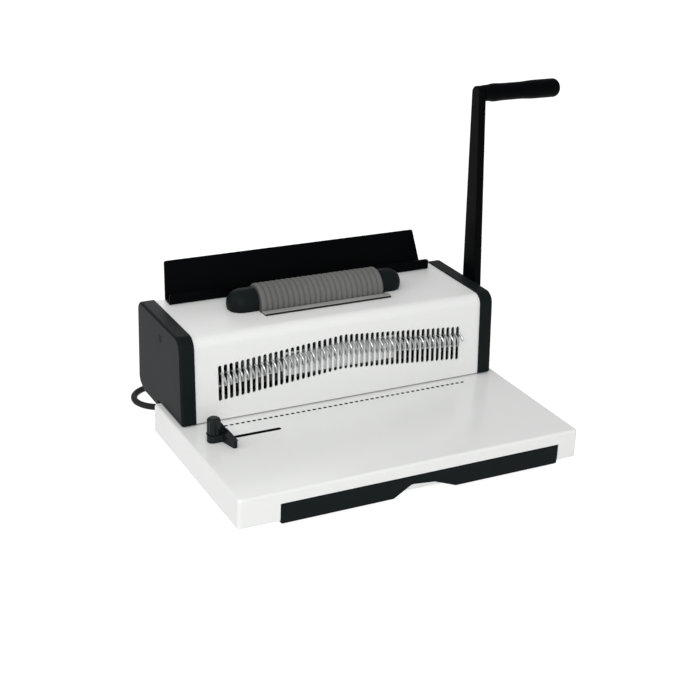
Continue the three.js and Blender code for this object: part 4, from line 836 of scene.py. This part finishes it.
# %% Housing cover
def make_cover():
    """The folded section carried from end to end, then cut by the slots and the openings."""
    cover = swept_strip("cover", COVER_LINE, -SHEET, (-HALF_HOUSING, HALF_HOUSING))
    slot_tool, slot_faces = slab_arrays(SLOT_OUTLINE, *SLOT_CUT, "y", arc=6)
    offsets = on_face(np.column_stack([ROW_X, 0 * ROW_X, slot_rises])) - np.array([0, 0, DECK])
    cut(cover, repeated("slots", on_face(slot_tool), slot_faces, offsets))
    for low, high in (OPENING, BELT_WAY, SWITCH_HOLE):
        cut(cover, box_tool(low, high))
    return cover


finish_piece(make_cover(), white_paint, "machine", ["housing_cover"], bevel=CRISP)

# %% [markdown]
# ## The end caps
# Each cap is a hollow moulding that closes one end of the housing and stands a little proud of it. Its outline
# has seven corners, each with its own radius, and its outer edge is rolled over by 3 mm, which catches a thin
# light along the top.

# %% End caps
SIDES = ((-1, "left"), (1, "right"))
CAP_OUTLINE = [
    (-2, 40.3, 3), (67.5, 40.3, 1), (67.5, 32.7, 3), (115, 32.7, 12), (130, 40.5, 12), (130, 135, 10.5),
    (4.5, 135, 13.5),
]
CAP_THICK = 16.0
CAP_WALL = 3.0
CAP_EDGE = 3.0
SHAFT_Y = 60.0
SHAFT_Z = 84.0
SHAFT_HOLE = rod(11.0, 20.0)
SCREW_HOLE = [(0, 0), (0, 2.3), (14.1, 2.3), (14.1, 4.3), (20.0, 4.3), (20.0, 0)]
SCREW_Z = 116.0


def make_cap(side):
    """The outline carried outwards from the cover's end, hollowed from within, with its screw's stepped hole."""
    near = side * HALF_HOUSING
    far = near + side * CAP_THICK
    rounds = {"round_end": CAP_EDGE} if side > 0 else {"round_start": CAP_EDGE}
    cap = slab("cap", CAP_OUTLINE, min(near, far), max(near, far), "x", steps=6, arc=10, **rounds)
    inner = sorted((near - side * CAP_WALL, far - side * CAP_WALL))
    cut(cap, slab("hollow", CAP_OUTLINE, inner[0], inner[1], "x", more_inset=CAP_WALL))
    cut(cap, turned("screw_hole", SCREW_HOLE, (near, SHAFT_Y, SCREW_Z), (side, 0, 0), SMALL_SIDES))
    if side > 0:
        cut(cap, turned("shaft_hole", SHAFT_HOLE, (near, SHAFT_Y, SHAFT_Z)))
    return cap


for side, word in SIDES:
    cap = make_cap(side)
    cap.name = word + "_end"
    finish_piece(cap, black_plastic, "machine", [word + "_cap"], bevel=CRISP)

# %% [markdown]
# ## The roller and its blocks
# The roller is a rubber sleeve with rounded ribs. Its radius is a wave along its length, raised to a power so
# that the grooves are narrow and the ribs broad. The two blocks that carry it are domes lying on their side: the
# radius falls as a superellipse towards the tip, which is fuller than a half ball.

# %% Roller sleeve
ROLLER_Y = 69.2
ROLLER_Z = 137.2
ROLLER_RADIUS = 21.0
ROLLER_LEFT = -75.8
ROLLER_RIGHT = 70.9
ROLLER_BORE = 4.3
RIBS = 23
GROOVE = 1.5
STEPS_PER_RIB = 12


def make_sleeve():
    """Radius = R - groove * ((1 + cos(2 pi s)) / 2)^3 round the roller's axis, where s counts the ribs."""
    s = np.linspace(0, RIBS, RIBS * STEPS_PER_RIB + 1)
    radius = ROLLER_RADIUS - GROOVE * ((1 + np.cos(2 * math.pi * s)) / 2) ** 3
    along = (ROLLER_RIGHT - ROLLER_LEFT) * s / RIBS
    profile = [(0, ROLLER_BORE)] + list(zip(along, radius)) + [(ROLLER_RIGHT - ROLLER_LEFT, ROLLER_BORE)]
    return turned("sleeve", profile, (ROLLER_LEFT, ROLLER_Y, ROLLER_Z), segments=72, wrap=True)


finish_piece(make_sleeve(), roller_rubber, "roller", ["roller_sleeve"])

# %% Roller blocks
BLOCK_Z = 139.5
BLOCK_EDGE = 1.0
DOME = 18.0
DOME_POWER = 2.4
DOME_STEPS = 15
BLOCKS = {-1: (-77.4, 30.2, 15.8), 1: (73.2, 26.8, 15.6)}  # for each side: start, length and radius
SHAFT_BORE = rod(ROLLER_BORE, 25.6, -1.0)
POCKET = rod(12.6, 9.0)
POCKET_WAY = ((-92.5, 56.9, 130.0), (-83.5, 81.5, 137.2))
UNDER_BLOCKS = ((-140.0, 30.0, 110.0), (140.0, 110.0, HOUSING_TOP))


def make_block(side):
    """Radius = R (1 - t^p)^(1/p) over the dome's length, with a flat floor, a bore and the pulley's pocket."""
    start, length, radius = BLOCKS[side]
    t = np.sin(np.linspace(0, math.pi / 2, DOME_STEPS))
    dome = radius * np.maximum(1 - t**DOME_POWER, 0) ** (1 / DOME_POWER)
    profile = [(0, 0), (0, radius - BLOCK_EDGE), (BLOCK_EDGE / 3, radius - BLOCK_EDGE / 3), (BLOCK_EDGE, radius)]
    profile += list(zip(length - DOME + DOME * t, dome))
    block = turned("block", profile, (start, ROLLER_Y, BLOCK_Z), (side, 0, 0), segments=64)
    cut(block, box_tool(*UNDER_BLOCKS))
    cut(block, turned("bore", SHAFT_BORE, (start, ROLLER_Y, ROLLER_Z), (side, 0, 0), SMALL_SIDES))
    if side < 0:
        cut(block, turned("pocket", POCKET, (BELT_WAY[0][0], ROLLER_Y, ROLLER_Z)))
        cut(block, box_tool(*POCKET_WAY))
    return block


for side, word in SIDES:
    block = make_block(side)
    block.name = word + "_bearing_block"
    finish_piece(block, black_plastic, "machine", [word + "_roller_block"], bevel=SOFT)

# %% [markdown]
# ## The strip, the bracket and the backing
# A bright strip lies in front of the roller over a black strip, which is painted shade for the dark gap under
# its front edge. A folded bracket under the roller reaches down behind the face; its dark steel is painted shade
# for the upper part of the slots, and a pale plate behind the middle slots shows through them.

# %% Roller lip and bracket
LIP_LINE = [(47.7, 122.2, 0), (47.7, 135.6, 1.6), (38.6, 135.6, 0)]
LIP_SPAN = (-76.6, 74.8)
LIP_THICK = 1.0
# Painted shade: a black strip under the bright strip's front edge, standing for the dark gap beneath it.
LIP_SHADE_STRIP = [
    (38.0, 133.05, 0.4), (46.0, 133.05, 0.4), (46.0, 134.55, 0.2), (38.55, 134.55, 0.05), (38.55, 135.2, 0.05),
    (38.0, 135.2, 0.2),
]
SHADE_STRIP_EDGE = 0.3
BRACKET_LINE = [
    (12.5, 73, 0), (12.5, 131.2, 12), (46.2, 131.2, 0.5), (46.2, 114.2, 2), (91, 114.2, 2), (91, 131.2, 0.5),
    (103, 131.2, 0),
]
BRACKET_SPAN = (-68.0, 68.0)
BACKING_OUTLINE = rectangle(*BRACKET_SPAN, 73.0, 100.0, 2.0)
BACKING_SPAN = (11.0, 12.3)
BACKING_EDGE = 0.4

lip = swept_strip("lip_strip", LIP_LINE, LIP_THICK, LIP_SPAN)
finish_piece(lip, brushed_steel, "machine", ["roller_lip"], bevel=CRISP)
# The black strip is painted shade under the lip's front edge.
shade_strip = slab("lip_shade_strip", LIP_SHADE_STRIP, *LIP_SPAN, "x", round_start=SHADE_STRIP_EDGE, round_end=SHADE_STRIP_EDGE)
finish_piece(shade_strip, black_rubber, "machine")
# The bracket is dark steel all over: painted shade for the upper part of the slots, under the cover's top.
bracket = swept_strip("bracket", BRACKET_LINE, -SHEET, BRACKET_SPAN)
finish_piece(bracket, dark_steel, "machine", ["roller_cradle"], bevel=CRISP)
backing = slab("slot_backing", BACKING_OUTLINE, *BACKING_SPAN, "y", round_start=BACKING_EDGE)
finish_piece(backing, zinc, "machine")

# %% [markdown]
# ## The binding coil
# The coil is one wire that passes through every slot. Behind the face it crosses its own slot from one side to
# the other, and in front it slants over the web to the next one. Its axis follows the arch of the slots.

# %% Binding coil
COIL_RADIUS = 7.0
COIL_WIRE = 2.5
COIL_LEAN = -0.7
COIL_DROP = 15.2
COIL_SIDES = 8
STEPS_PER_TURN = 16


def wire_path():
    """x goes from lean to -lean behind the face, then on to the next slot; up and behind go in a circle."""
    s = np.arange(SLOTS * STEPS_PER_TURN - STEPS_PER_TURN // 4 + 1) / STEPS_PER_TURN
    turn = np.floor(s)
    behind_share = np.minimum((s - turn) * 2, 1)
    front_share = np.maximum((s - turn) * 2 - 1, 0)
    x = PITCH * turn - HALF_ROW + COIL_LEAN * (1 - 2 * behind_share) + (PITCH + 2 * COIL_LEAN) * front_share
    rise = SLOT_RISE * (1 - np.minimum(np.abs(x), HALF_ROW) / HALF_ROW)
    angle = 2 * math.pi * (s - turn) - math.pi / 2
    up = SLOT_HEAD + rise - COIL_DROP + COIL_RADIUS * np.sin(angle)
    return on_face(np.stack([x, COIL_RADIUS * np.cos(angle), up], axis=1))


coil_line = wire_path()
wire_coil = tube("wire_coil", coil_line, COIL_WIRE / 2, COIL_SIDES)
finish_piece(wire_coil, coil_wire, "machine", ["binding_coil"])
print("coil:", round(way_along(coil_line)[-1]), "mm of wire")

# %% [markdown]
# ## The rest along the back
# The rest is a folded sheet: a low lip, a floor and a wall that leans back. Its half width falls from the lip to
# the top, and each free end has round corners, so the width is a function of the way along the section.

# %% Rest trough
REST_LINE = [(103.5, 145, 0), (103.5, 133, 2.5), (123.0, 133, 2.5), (137.5, 171.6, 0)]
REST_THICK = 2.5
REST_CORNER = 2.0
REST_WAYS = [0.0, 10.0, 30.0, 71.0]
REST_HALF_WIDTHS = [159.6, 159.6, 158.2, 153.8]
REST_ROWS = 90


def make_rest():
    """Half width = a line through the given widths, less r - sqrt(r^2 - e^2) within r of a free end."""
    section = bent_strip(REST_LINE, REST_THICK)
    half = len(section) // 2
    line, inner = section[:half], section[half:][::-1]
    way = way_along(line)
    spots = np.linspace(0, way[-1], REST_ROWS)
    both = [np.stack([np.interp(spots, way, side[:, k]) for k in (0, 1)], axis=1) for side in (line, inner)]
    loop = np.vstack([both[0], both[1][::-1]])
    inside = np.clip(REST_CORNER - np.minimum(spots, way[-1] - spots), 0, REST_CORNER)
    width = np.interp(spots, REST_WAYS, REST_HALF_WIDTHS)
    width -= REST_CORNER - np.sqrt(REST_CORNER**2 - inside**2)
    width = np.concatenate([width, width[::-1]])
    points = np.array([np.column_stack([side * width, loop]) for side in (-1, 1)])
    i = np.arange(REST_ROWS - 1)
    last = 2 * REST_ROWS - 1
    end = np.stack([i, i + 1, last - 1 - i, last - i], axis=1)
    faces = grid_faces(2, 2 * REST_ROWS, wrap_columns=True) + end.tolist() + (end + 2 * REST_ROWS).tolist()
    return solid("rest", points, faces)


finish_piece(make_rest(), black_paint, "machine", ["rest_trough"], bevel=BROAD)
print("rest:", round(2 * max(REST_HALF_WIDTHS), 1), "mm wide at its lip")

# %% [markdown]
# ## The lever
# The lever is drawn upright and then leaned back about the shaft. The hub is an arch that wraps the shaft, the
# arm tapers to a round elbow, and the grip is turned from one profile with a fuller end.

# %% The lean of the lever
LEVER_LEAN = math.radians(3.8)


def leaned(name, points, faces):
    """Points (x, u, v) turned about the shaft: y = y0 + u cos a + v sin a, z = z0 - u sin a + v cos a."""
    x, u, v = points.T
    y = SHAFT_Y + u * math.cos(LEVER_LEAN) + v * math.sin(LEVER_LEAN)
    z = SHAFT_Z - u * math.sin(LEVER_LEAN) + v * math.cos(LEVER_LEAN)
    return solid(name, np.stack([x, y, z], axis=1), faces)


# %% The sizes of the hub and the arm
HUB_OUTLINE = [(-17, -17, 17), (17, -17, 17), (17, 36, 3), (-17, 36, 3)]
HUB_SPAN = (188.8, 200.8)
HUB_ROUND = 1.5
ARM_OUTLINE = [(-14, 18.5, 0.5), (14, 18.5, 0.5), (8, 268.6, 8), (-8, 268.6, 7)]
ARM_SPAN = (190.3, 199.3)
ARM_ROUND = 1.4
FIT = 0.3
POCKET_SPAN = (ARM_SPAN[0] - FIT, ARM_SPAN[1] + FIT)
OVERRUN = 1.0
HUB_BORE = rod(7.3, 10.8)
GRIP_V = 260.0
GRIP_START = 199.5
PIN = rod(4.5, 86.0)
GRIP_CENTRE = (
    GRIP_START,
    SHAFT_Y + GRIP_V * math.sin(LEVER_LEAN),
    SHAFT_Z + GRIP_V * math.cos(LEVER_LEAN),
)
PIN_PLACE = (191.8, GRIP_CENTRE[1], GRIP_CENTRE[2])

# %% Lever arm and hub
arm = leaned("lever_bar", *slab_arrays(ARM_OUTLINE, *ARM_SPAN, "x", ARM_ROUND, ARM_ROUND))
cut(arm, turned("pin", PIN, PIN_PLACE, segments=SMALL_SIDES), "UNION")
hub = leaned("lever_socket", *slab_arrays(HUB_OUTLINE, *HUB_SPAN, "x", HUB_ROUND, HUB_ROUND, arc=12))
cut(hub, turned("bore", HUB_BORE, (HUB_SPAN[0] - OVERRUN, SHAFT_Y, SHAFT_Z), segments=32))
cut(hub, leaned("pocket", *slab_arrays(ARM_OUTLINE, *POCKET_SPAN, "x", more_inset=-FIT)))
finish_piece(arm, black_paint, "lever", ["lever_arm"], bevel=SOFT)
finish_piece(hub, black_paint, "lever", ["lever_hub"], bevel=SOFT)

# %% The grip's profile
GRIP_LENGTH = 100.0
GRIP_RADIUS = 10.5
GRIP_WAIST = 9.6
GRIP_COLLAR = 9.0
GRIP_COLLAR_LENGTH = 6.0
GRIP_EDGE = 0.8
GRIP_END_RADIUS = 7.0
BEAD_PLACE = 15.0
BEAD_HALF = 6.0
BEAD_HEIGHT = 0.5
SWELL_FROM = 48.0
SWELL_TO = 68.0
GRIP_STEPS = 60
GRIP_BORE = rod(4.8, 79.0, -1.0)


def grip_profile():
    """Radius = a step from collar to waist, plus a bead like exp(-d^2), plus a smooth swell to a round end."""
    along = np.linspace(GRIP_EDGE, GRIP_LENGTH - GRIP_END_RADIUS, GRIP_STEPS)
    step = smooth((along - GRIP_COLLAR_LENGTH) / GRIP_COLLAR_LENGTH)
    swell = smooth((along - SWELL_FROM) / (SWELL_TO - SWELL_FROM))
    radius = GRIP_COLLAR + (GRIP_WAIST - GRIP_COLLAR) * step
    radius = radius + BEAD_HEIGHT * np.exp(-(((along - BEAD_PLACE) / BEAD_HALF) ** 2))
    radius = radius + (GRIP_RADIUS - GRIP_WAIST) * swell
    end = arc_profile(along[-1], radius[-1] - GRIP_END_RADIUS, GRIP_END_RADIUS, 90, 0, 10)
    return [(0, 0), (0, GRIP_COLLAR - GRIP_EDGE)] + list(zip(along, radius)) + end[1:] + [(GRIP_LENGTH, 0)]


# %% Grip
grip = turned("lever_handle", grip_profile(), GRIP_CENTRE, segments=64)
cut(grip, turned("bore", GRIP_BORE, GRIP_CENTRE, segments=SMALL_SIDES))
finish_piece(grip, black_paint, "lever", ["lever_grip"])

# %% [markdown]
# ## The side guide
# The paper guide is a flat foot with a pointed nose and a sloping web that carries a stud. A fluted knob on the
# stud clamps it. The knob's radius loses a wave of ten flutes, which fades out towards its crown.

# %% Side guide
KNOB_X = -167.5
KNOB_Y = -40.0
GUIDE_OUTLINE = [
    (-151.4, -64, 1), (-155.6, -64, 1), (-160.4, -46, 1.5), (-174.4, -46, 5), (-174.4, -34, 5), (-151.4, -34, 1),
]
GUIDE_SPAN = (40.3, 48.5)
GUIDE_EDGE = 0.8
WEB_OUTLINE = [
    (-159.7, 40.4, 0.5), (-147.0, 40.4, 0.5), (-147.0, 41.6, 0.5), (-158.6, 58.5, 1), (-159.7, 58.5, 0.5),
]
WEB_SPAN = (-40.0, -35.0)
WEB_EDGE = 0.5
STUD_BORE = rod(2.4, 12.0)

guide = slab("guide_block", GUIDE_OUTLINE, *GUIDE_SPAN, "z", round_end=GUIDE_EDGE)
cut(guide, slab("web", WEB_OUTLINE, *WEB_SPAN, "y", WEB_EDGE, WEB_EDGE), "UNION")
cut(guide, turned("bore", STUD_BORE, (KNOB_X, KNOB_Y, GUIDE_SPAN[0] - OVERRUN), ALONG_Z, SMALL_SIDES))
finish_piece(guide, knob_plastic, "guide", ["side_guide"], bevel=SOFT)

# %% Guide knob
KNOB_FOOT = 48.8
KNOB_RADIUS = 7.2
KNOB_HEIGHT = 17.6
KNOB_CROWN = 3.2
KNOB_ROUND = 3.6
KNOB_FLUTES = 10
FLUTE_DEPTH = 0.7
STUD_FOOT = 33.7
KNOB_STUD = rod(2.1, 20.0)
knob_profile = [(0, 0), (0, 6.6), (0.4, 7.1), (1.2, KNOB_RADIUS), (13.6, KNOB_RADIUS)]
knob_profile += arc_profile(KNOB_HEIGHT - KNOB_ROUND, KNOB_RADIUS - KNOB_ROUND, KNOB_ROUND, 80, 0, 8)[:-1]
knob_profile += [(KNOB_HEIGHT, KNOB_CROWN), (KNOB_HEIGHT, 0)]

knob_place = (KNOB_X, KNOB_Y, KNOB_FOOT)
knob = turned("guide_handle", knob_profile, knob_place, ALONG_Z, 120, KNOB_FLUTES, FLUTE_DEPTH)
cut(knob, turned("stud", KNOB_STUD, (KNOB_X, KNOB_Y, STUD_FOOT), ALONG_Z, SMALL_SIDES), "UNION")
finish_piece(knob, knob_plastic, "knob", ["guide_knob"])

# %% [markdown]
# ## The back: the switch and the lead's relief
# The mains switch sits in the back of the housing: a thin surround with a rocker whose face is a shallow V. The
# lead comes out through a soft tapered relief with ribs, which follows the lead's own path as it starts to fall.

# %% Switch
SURROUND = rectangle(109.0, 131.0, 65.0, 95.0, 2.5)
SURROUND_SPAN = (128.3, 129.8)
SURROUND_EDGE = 0.8
SWITCH_BODY = ((111.8, 114.0, 67.8), (128.2, 129.0, 92.2))
SWITCH_ROOM = ((113.3, 121.0, 69.3), (126.7, 133.0, 90.7))
ROCKER_PIVOT = (125.9, 80.0)
ROCKER_TIP = math.radians(8)
ROCKER_OUTLINE = np.array([(-1.5, -9.1), (5, -9.1), (3.6, 0), (5, 9.1), (-1.5, 9.1)])
ROCKER_RADII = np.array([0.3, 0.8, 6.0, 0.8, 0.3])
ROCKER_SPAN = (113.6, 126.4)
ROCKER_EDGE = 0.5
tip_cos = math.cos(ROCKER_TIP)
tip_sin = math.sin(ROCKER_TIP)
tipped = ROCKER_OUTLINE @ np.array([[tip_cos, tip_sin], [-tip_sin, tip_cos]]) + np.array(ROCKER_PIVOT)
rocker_corners = np.column_stack([tipped, ROCKER_RADII])

surround = slab("switch_surround", SURROUND, *SURROUND_SPAN, "y", round_end=SURROUND_EDGE)
cut(surround, box_tool(*SWITCH_BODY), "UNION")
cut(surround, box_tool(*SWITCH_ROOM))
finish_piece(surround, black_plastic, "machine", ["switch_frame"], bevel=CRISP)
rocker = slab("rocker_cap", rocker_corners, *ROCKER_SPAN, "x", ROCKER_EDGE, ROCKER_EDGE)
finish_piece(rocker, black_rubber, "rocker", ["switch_rocker"])

# %% Strain relief
RELIEF_START = 60.5
RELIEF_STRAIGHT = 79.0
RELIEF_STEPS = 38
RELIEF_REACH = 2 * ROUTE_STEPS + 1
RELIEF_NECK = 6.1
FLANGE_START = 66.2
FLANGE_END = 69.0
FLANGE_RADIUS = 8.5
RELIEF_RADIUS = 6.6
RELIEF_TAPER = 2.2
RELIEF_RIBS = 7
RIB_DEPTH = 0.35
RELIEF_EDGE = 0.2


def make_relief():
    """A tube round the lead's first stretch: radius = taper, less a small wave of ribs past the flange."""
    inside = np.linspace(RELIEF_START, RELIEF_STRAIGHT, RELIEF_STEPS)
    straight = np.column_stack([0 * inside + LEAD_X, inside, 0 * inside + LEAD_Z])
    path = np.vstack([straight, cord_path[:RELIEF_REACH]])
    way = way_along(path) + RELIEF_START
    share = (way - FLANGE_END) / (way[-1] - FLANGE_END)
    ribs = RIB_DEPTH * (1 + np.cos(2 * math.pi * RELIEF_RIBS * share)) / 2
    radius = RELIEF_RADIUS - RELIEF_TAPER * smooth(share) - ribs
    radius = np.where(way < FLANGE_START, RELIEF_NECK, np.where(way < FLANGE_END, FLANGE_RADIUS, radius))
    return tube("lead_relief", path, radius, SMALL_SIDES)


finish_piece(make_relief(), black_rubber, "machine", ["strain_relief"], bevel=RELIEF_EDGE)

# %% [markdown]
# ## The lead and its plug
# The lead is one tube along its route. The plug is turned from one profile: a ribbed neck that keeps the lead
# from kinking, a shoulder that swells smoothly, a round body and two pins with round tips.

# %% The plug's sizes
PLUG_GAP = 0.3
NECK = CORD / 2 + 1.5
NECK_EDGE = 0.6
NECK_LENGTH = 12.0
NECK_GROWTH = 1.2
NECK_RIBS = np.linspace(1.5, 11, 20)
RIB_WAVE = 2.4
SHOULDER = 6.6
SHOULDER_END = 24.0
SHOULDER_STEPS = 9
PLUG_END = [(44.5, 0), (45.5, 0.4), (46, 1.4)]
PIN_START = 44.0
PIN_END = 65.0
PIN_RADIUS = 2.4
PIN_ROUND = 2.0
PIN_SPREAD = 9.5
CORD_SIDES = 16


def plug_profile():
    """Neck = radius + growth * smooth step + a small wave of ribs; shoulder = a smooth step; then the body."""
    profile = [(0, 0), (0, NECK - NECK_EDGE), (NECK_EDGE, NECK)]
    wave = RIB_DEPTH * np.cos(NECK_RIBS * 2 * math.pi / RIB_WAVE)
    profile += list(zip(NECK_RIBS, NECK + NECK_GROWTH * smooth(NECK_RIBS / NECK_LENGTH) + wave))
    along = np.linspace(NECK_LENGTH, SHOULDER_END, SHOULDER_STEPS)
    swell = smooth(np.linspace(0, 1, SHOULDER_STEPS))
    profile += list(zip(along, SHOULDER + (PLUG_RADIUS - SHOULDER) * swell))
    profile += [(spot, PLUG_RADIUS - less) for spot, less in PLUG_END]
    return profile + [(PLUG_END[-1][0], 0)]


def make_plug():
    """The turned body at the lead's end, with its two pins."""
    end = cord_path[-1] + np.array([PLUG_GAP, 0, 0])
    body = turned("mains_plug_body", plug_profile(), end)
    tip = arc_profile(PIN_END - PIN_ROUND, PIN_RADIUS - PIN_ROUND, PIN_ROUND, 90, 0, 6)
    pin = [(PIN_START, 0), (PIN_START, PIN_RADIUS), (PIN_END - PIN_ROUND, PIN_RADIUS)] + tip + [(PIN_END, 0)]
    for side in (-1, 1):
        tool = turned("pin", pin, end + np.array([0, side * PIN_SPREAD, 0]), segments=20)
        cut(body, tool, "UNION")
    return body


# %% The mains lead and its plug
cord = tube("mains_lead", cord_path, CORD / 2, CORD_SIDES)
finish_piece(cord, black_rubber, "machine", ["mains_cord", "cord_coil"])
plug = make_plug()
finish_piece(plug, black_rubber, "machine", ["mains_plug"])

# %% [markdown]
# ## Floor, background and lamps
# The photograph has a white background and soft light from all round, most of it from the front left. The floor
# shows white to the camera and in reflections, and still keeps the machine's shadow, because part of its
# brightness is real light on a diffuse colour.

# %% Floor
FLOOR_REACH = 6.0
FLOOR_GLOW = 0.88
FLOOR_TONE = (0.8, 0.8, 0.8)
FLOOR_SEEN_TONE = (0.3, 0.3, 0.3)


def make_floor():
    """A flat sheet at the ground, in one quad."""
    corners = np.array([[-1, -1, 0], [1, -1, 0], [1, 1, 0], [-1, 1, 0]], float) * FLOOR_REACH
    mesh = bpy.data.meshes.new("floor")
    mesh.from_pydata(corners.tolist(), [], [(0, 1, 2, 3)])
    return set_out("floor", mesh)


floor = make_floor()
floor_material, floor_tree, floor_shader = principled("floor", FLOOR_TONE)
floor_shader.inputs["Roughness"].default_value = 1.0
floor_shader.inputs["Specular IOR Level"].default_value = 0.0
floor_rays = floor_tree.nodes.new("ShaderNodeLightPath").outputs
seen = math_node(floor_tree, "MAXIMUM", floor_rays["Is Camera Ray"], floor_rays["Is Glossy Ray"])
seen = math_node(floor_tree, "MAXIMUM", seen, floor_rays["Is Transmission Ray"])
tinted = blend_colour(floor_tree, seen, FLOOR_TONE, FLOOR_SEEN_TONE)
floor_tree.links.new(tinted, floor_shader.inputs["Base Color"])
floor_shader.inputs["Emission Color"].default_value = (1, 1, 1, 1)
glow = math_node(floor_tree, "MULTIPLY", seen, FLOOR_GLOW)
floor_tree.links.new(glow, floor_shader.inputs["Emission Strength"])
floor.data.materials.append(floor_material)
print("floor", 2 * FLOOR_REACH, "m wide")

# %% World
GLOSSY_SKY = 0.4
DIFFUSE_SKY = 0.48
world = bpy.data.worlds.new("studio")
bpy.context.scene.world = world
world.use_nodes = True
world_tree = world.node_tree
background = world_tree.nodes["Background"]
rays = world_tree.nodes.new("ShaderNodeLightPath").outputs
open_air = math_node(world_tree, "MAXIMUM", rays["Is Camera Ray"], rays["Is Transmission Ray"])
reflected = math_node(world_tree, "MULTIPLY", rays["Is Glossy Ray"], GLOSSY_SKY)
shown = math_node(world_tree, "MAXIMUM", open_air, reflected)
strength = math_node(world_tree, "MAXIMUM", shown, DIFFUSE_SKY)
background.inputs["Color"].default_value = (1, 1, 1, 1)
world_tree.links.new(strength, background.inputs["Strength"])
print("the sky lights with", DIFFUSE_SKY, "and shows white")

# %% Lamps
LAMP_TARGET = (0, 0, 0.1)
LAMPS = {
    "front_box": {"place": (-0.7, -1.9, 1.0), "size": 1.4, "power": 26},
    "left_box": {"place": (-1.8, 0.1, 0.9), "size": 1.0, "power": 6},
    "top_box": {"place": (-0.8, -0.4, 1.8), "size": 1.6, "power": 11},
    "back_box": {"place": (0.3, 2.0, 0.8), "size": 1.2, "power": 6},
}


def area_lamp(name, place, size, power):
    """A square soft box at a place, turned to the machine."""
    data = bpy.data.lights.new(name, "AREA")
    data.shape = "SQUARE"
    data.size = size
    data.energy = power
    lamp = bpy.data.objects.new(name, data)
    lamp.location = place
    lamp.rotation_euler = (Vector(LAMP_TARGET) - Vector(place)).to_track_quat("-Z", "Y").to_euler()
    bpy.context.scene.collection.objects.link(lamp)


for name, values in LAMPS.items():
    area_lamp(name, **values)
print(len(LAMPS), "lamps")

# %% [markdown]
# ## Colour
# The Standard view transform shows each colour about as it is written.

# %% View transform
bpy.context.scene.view_settings.view_transform = "Standard"
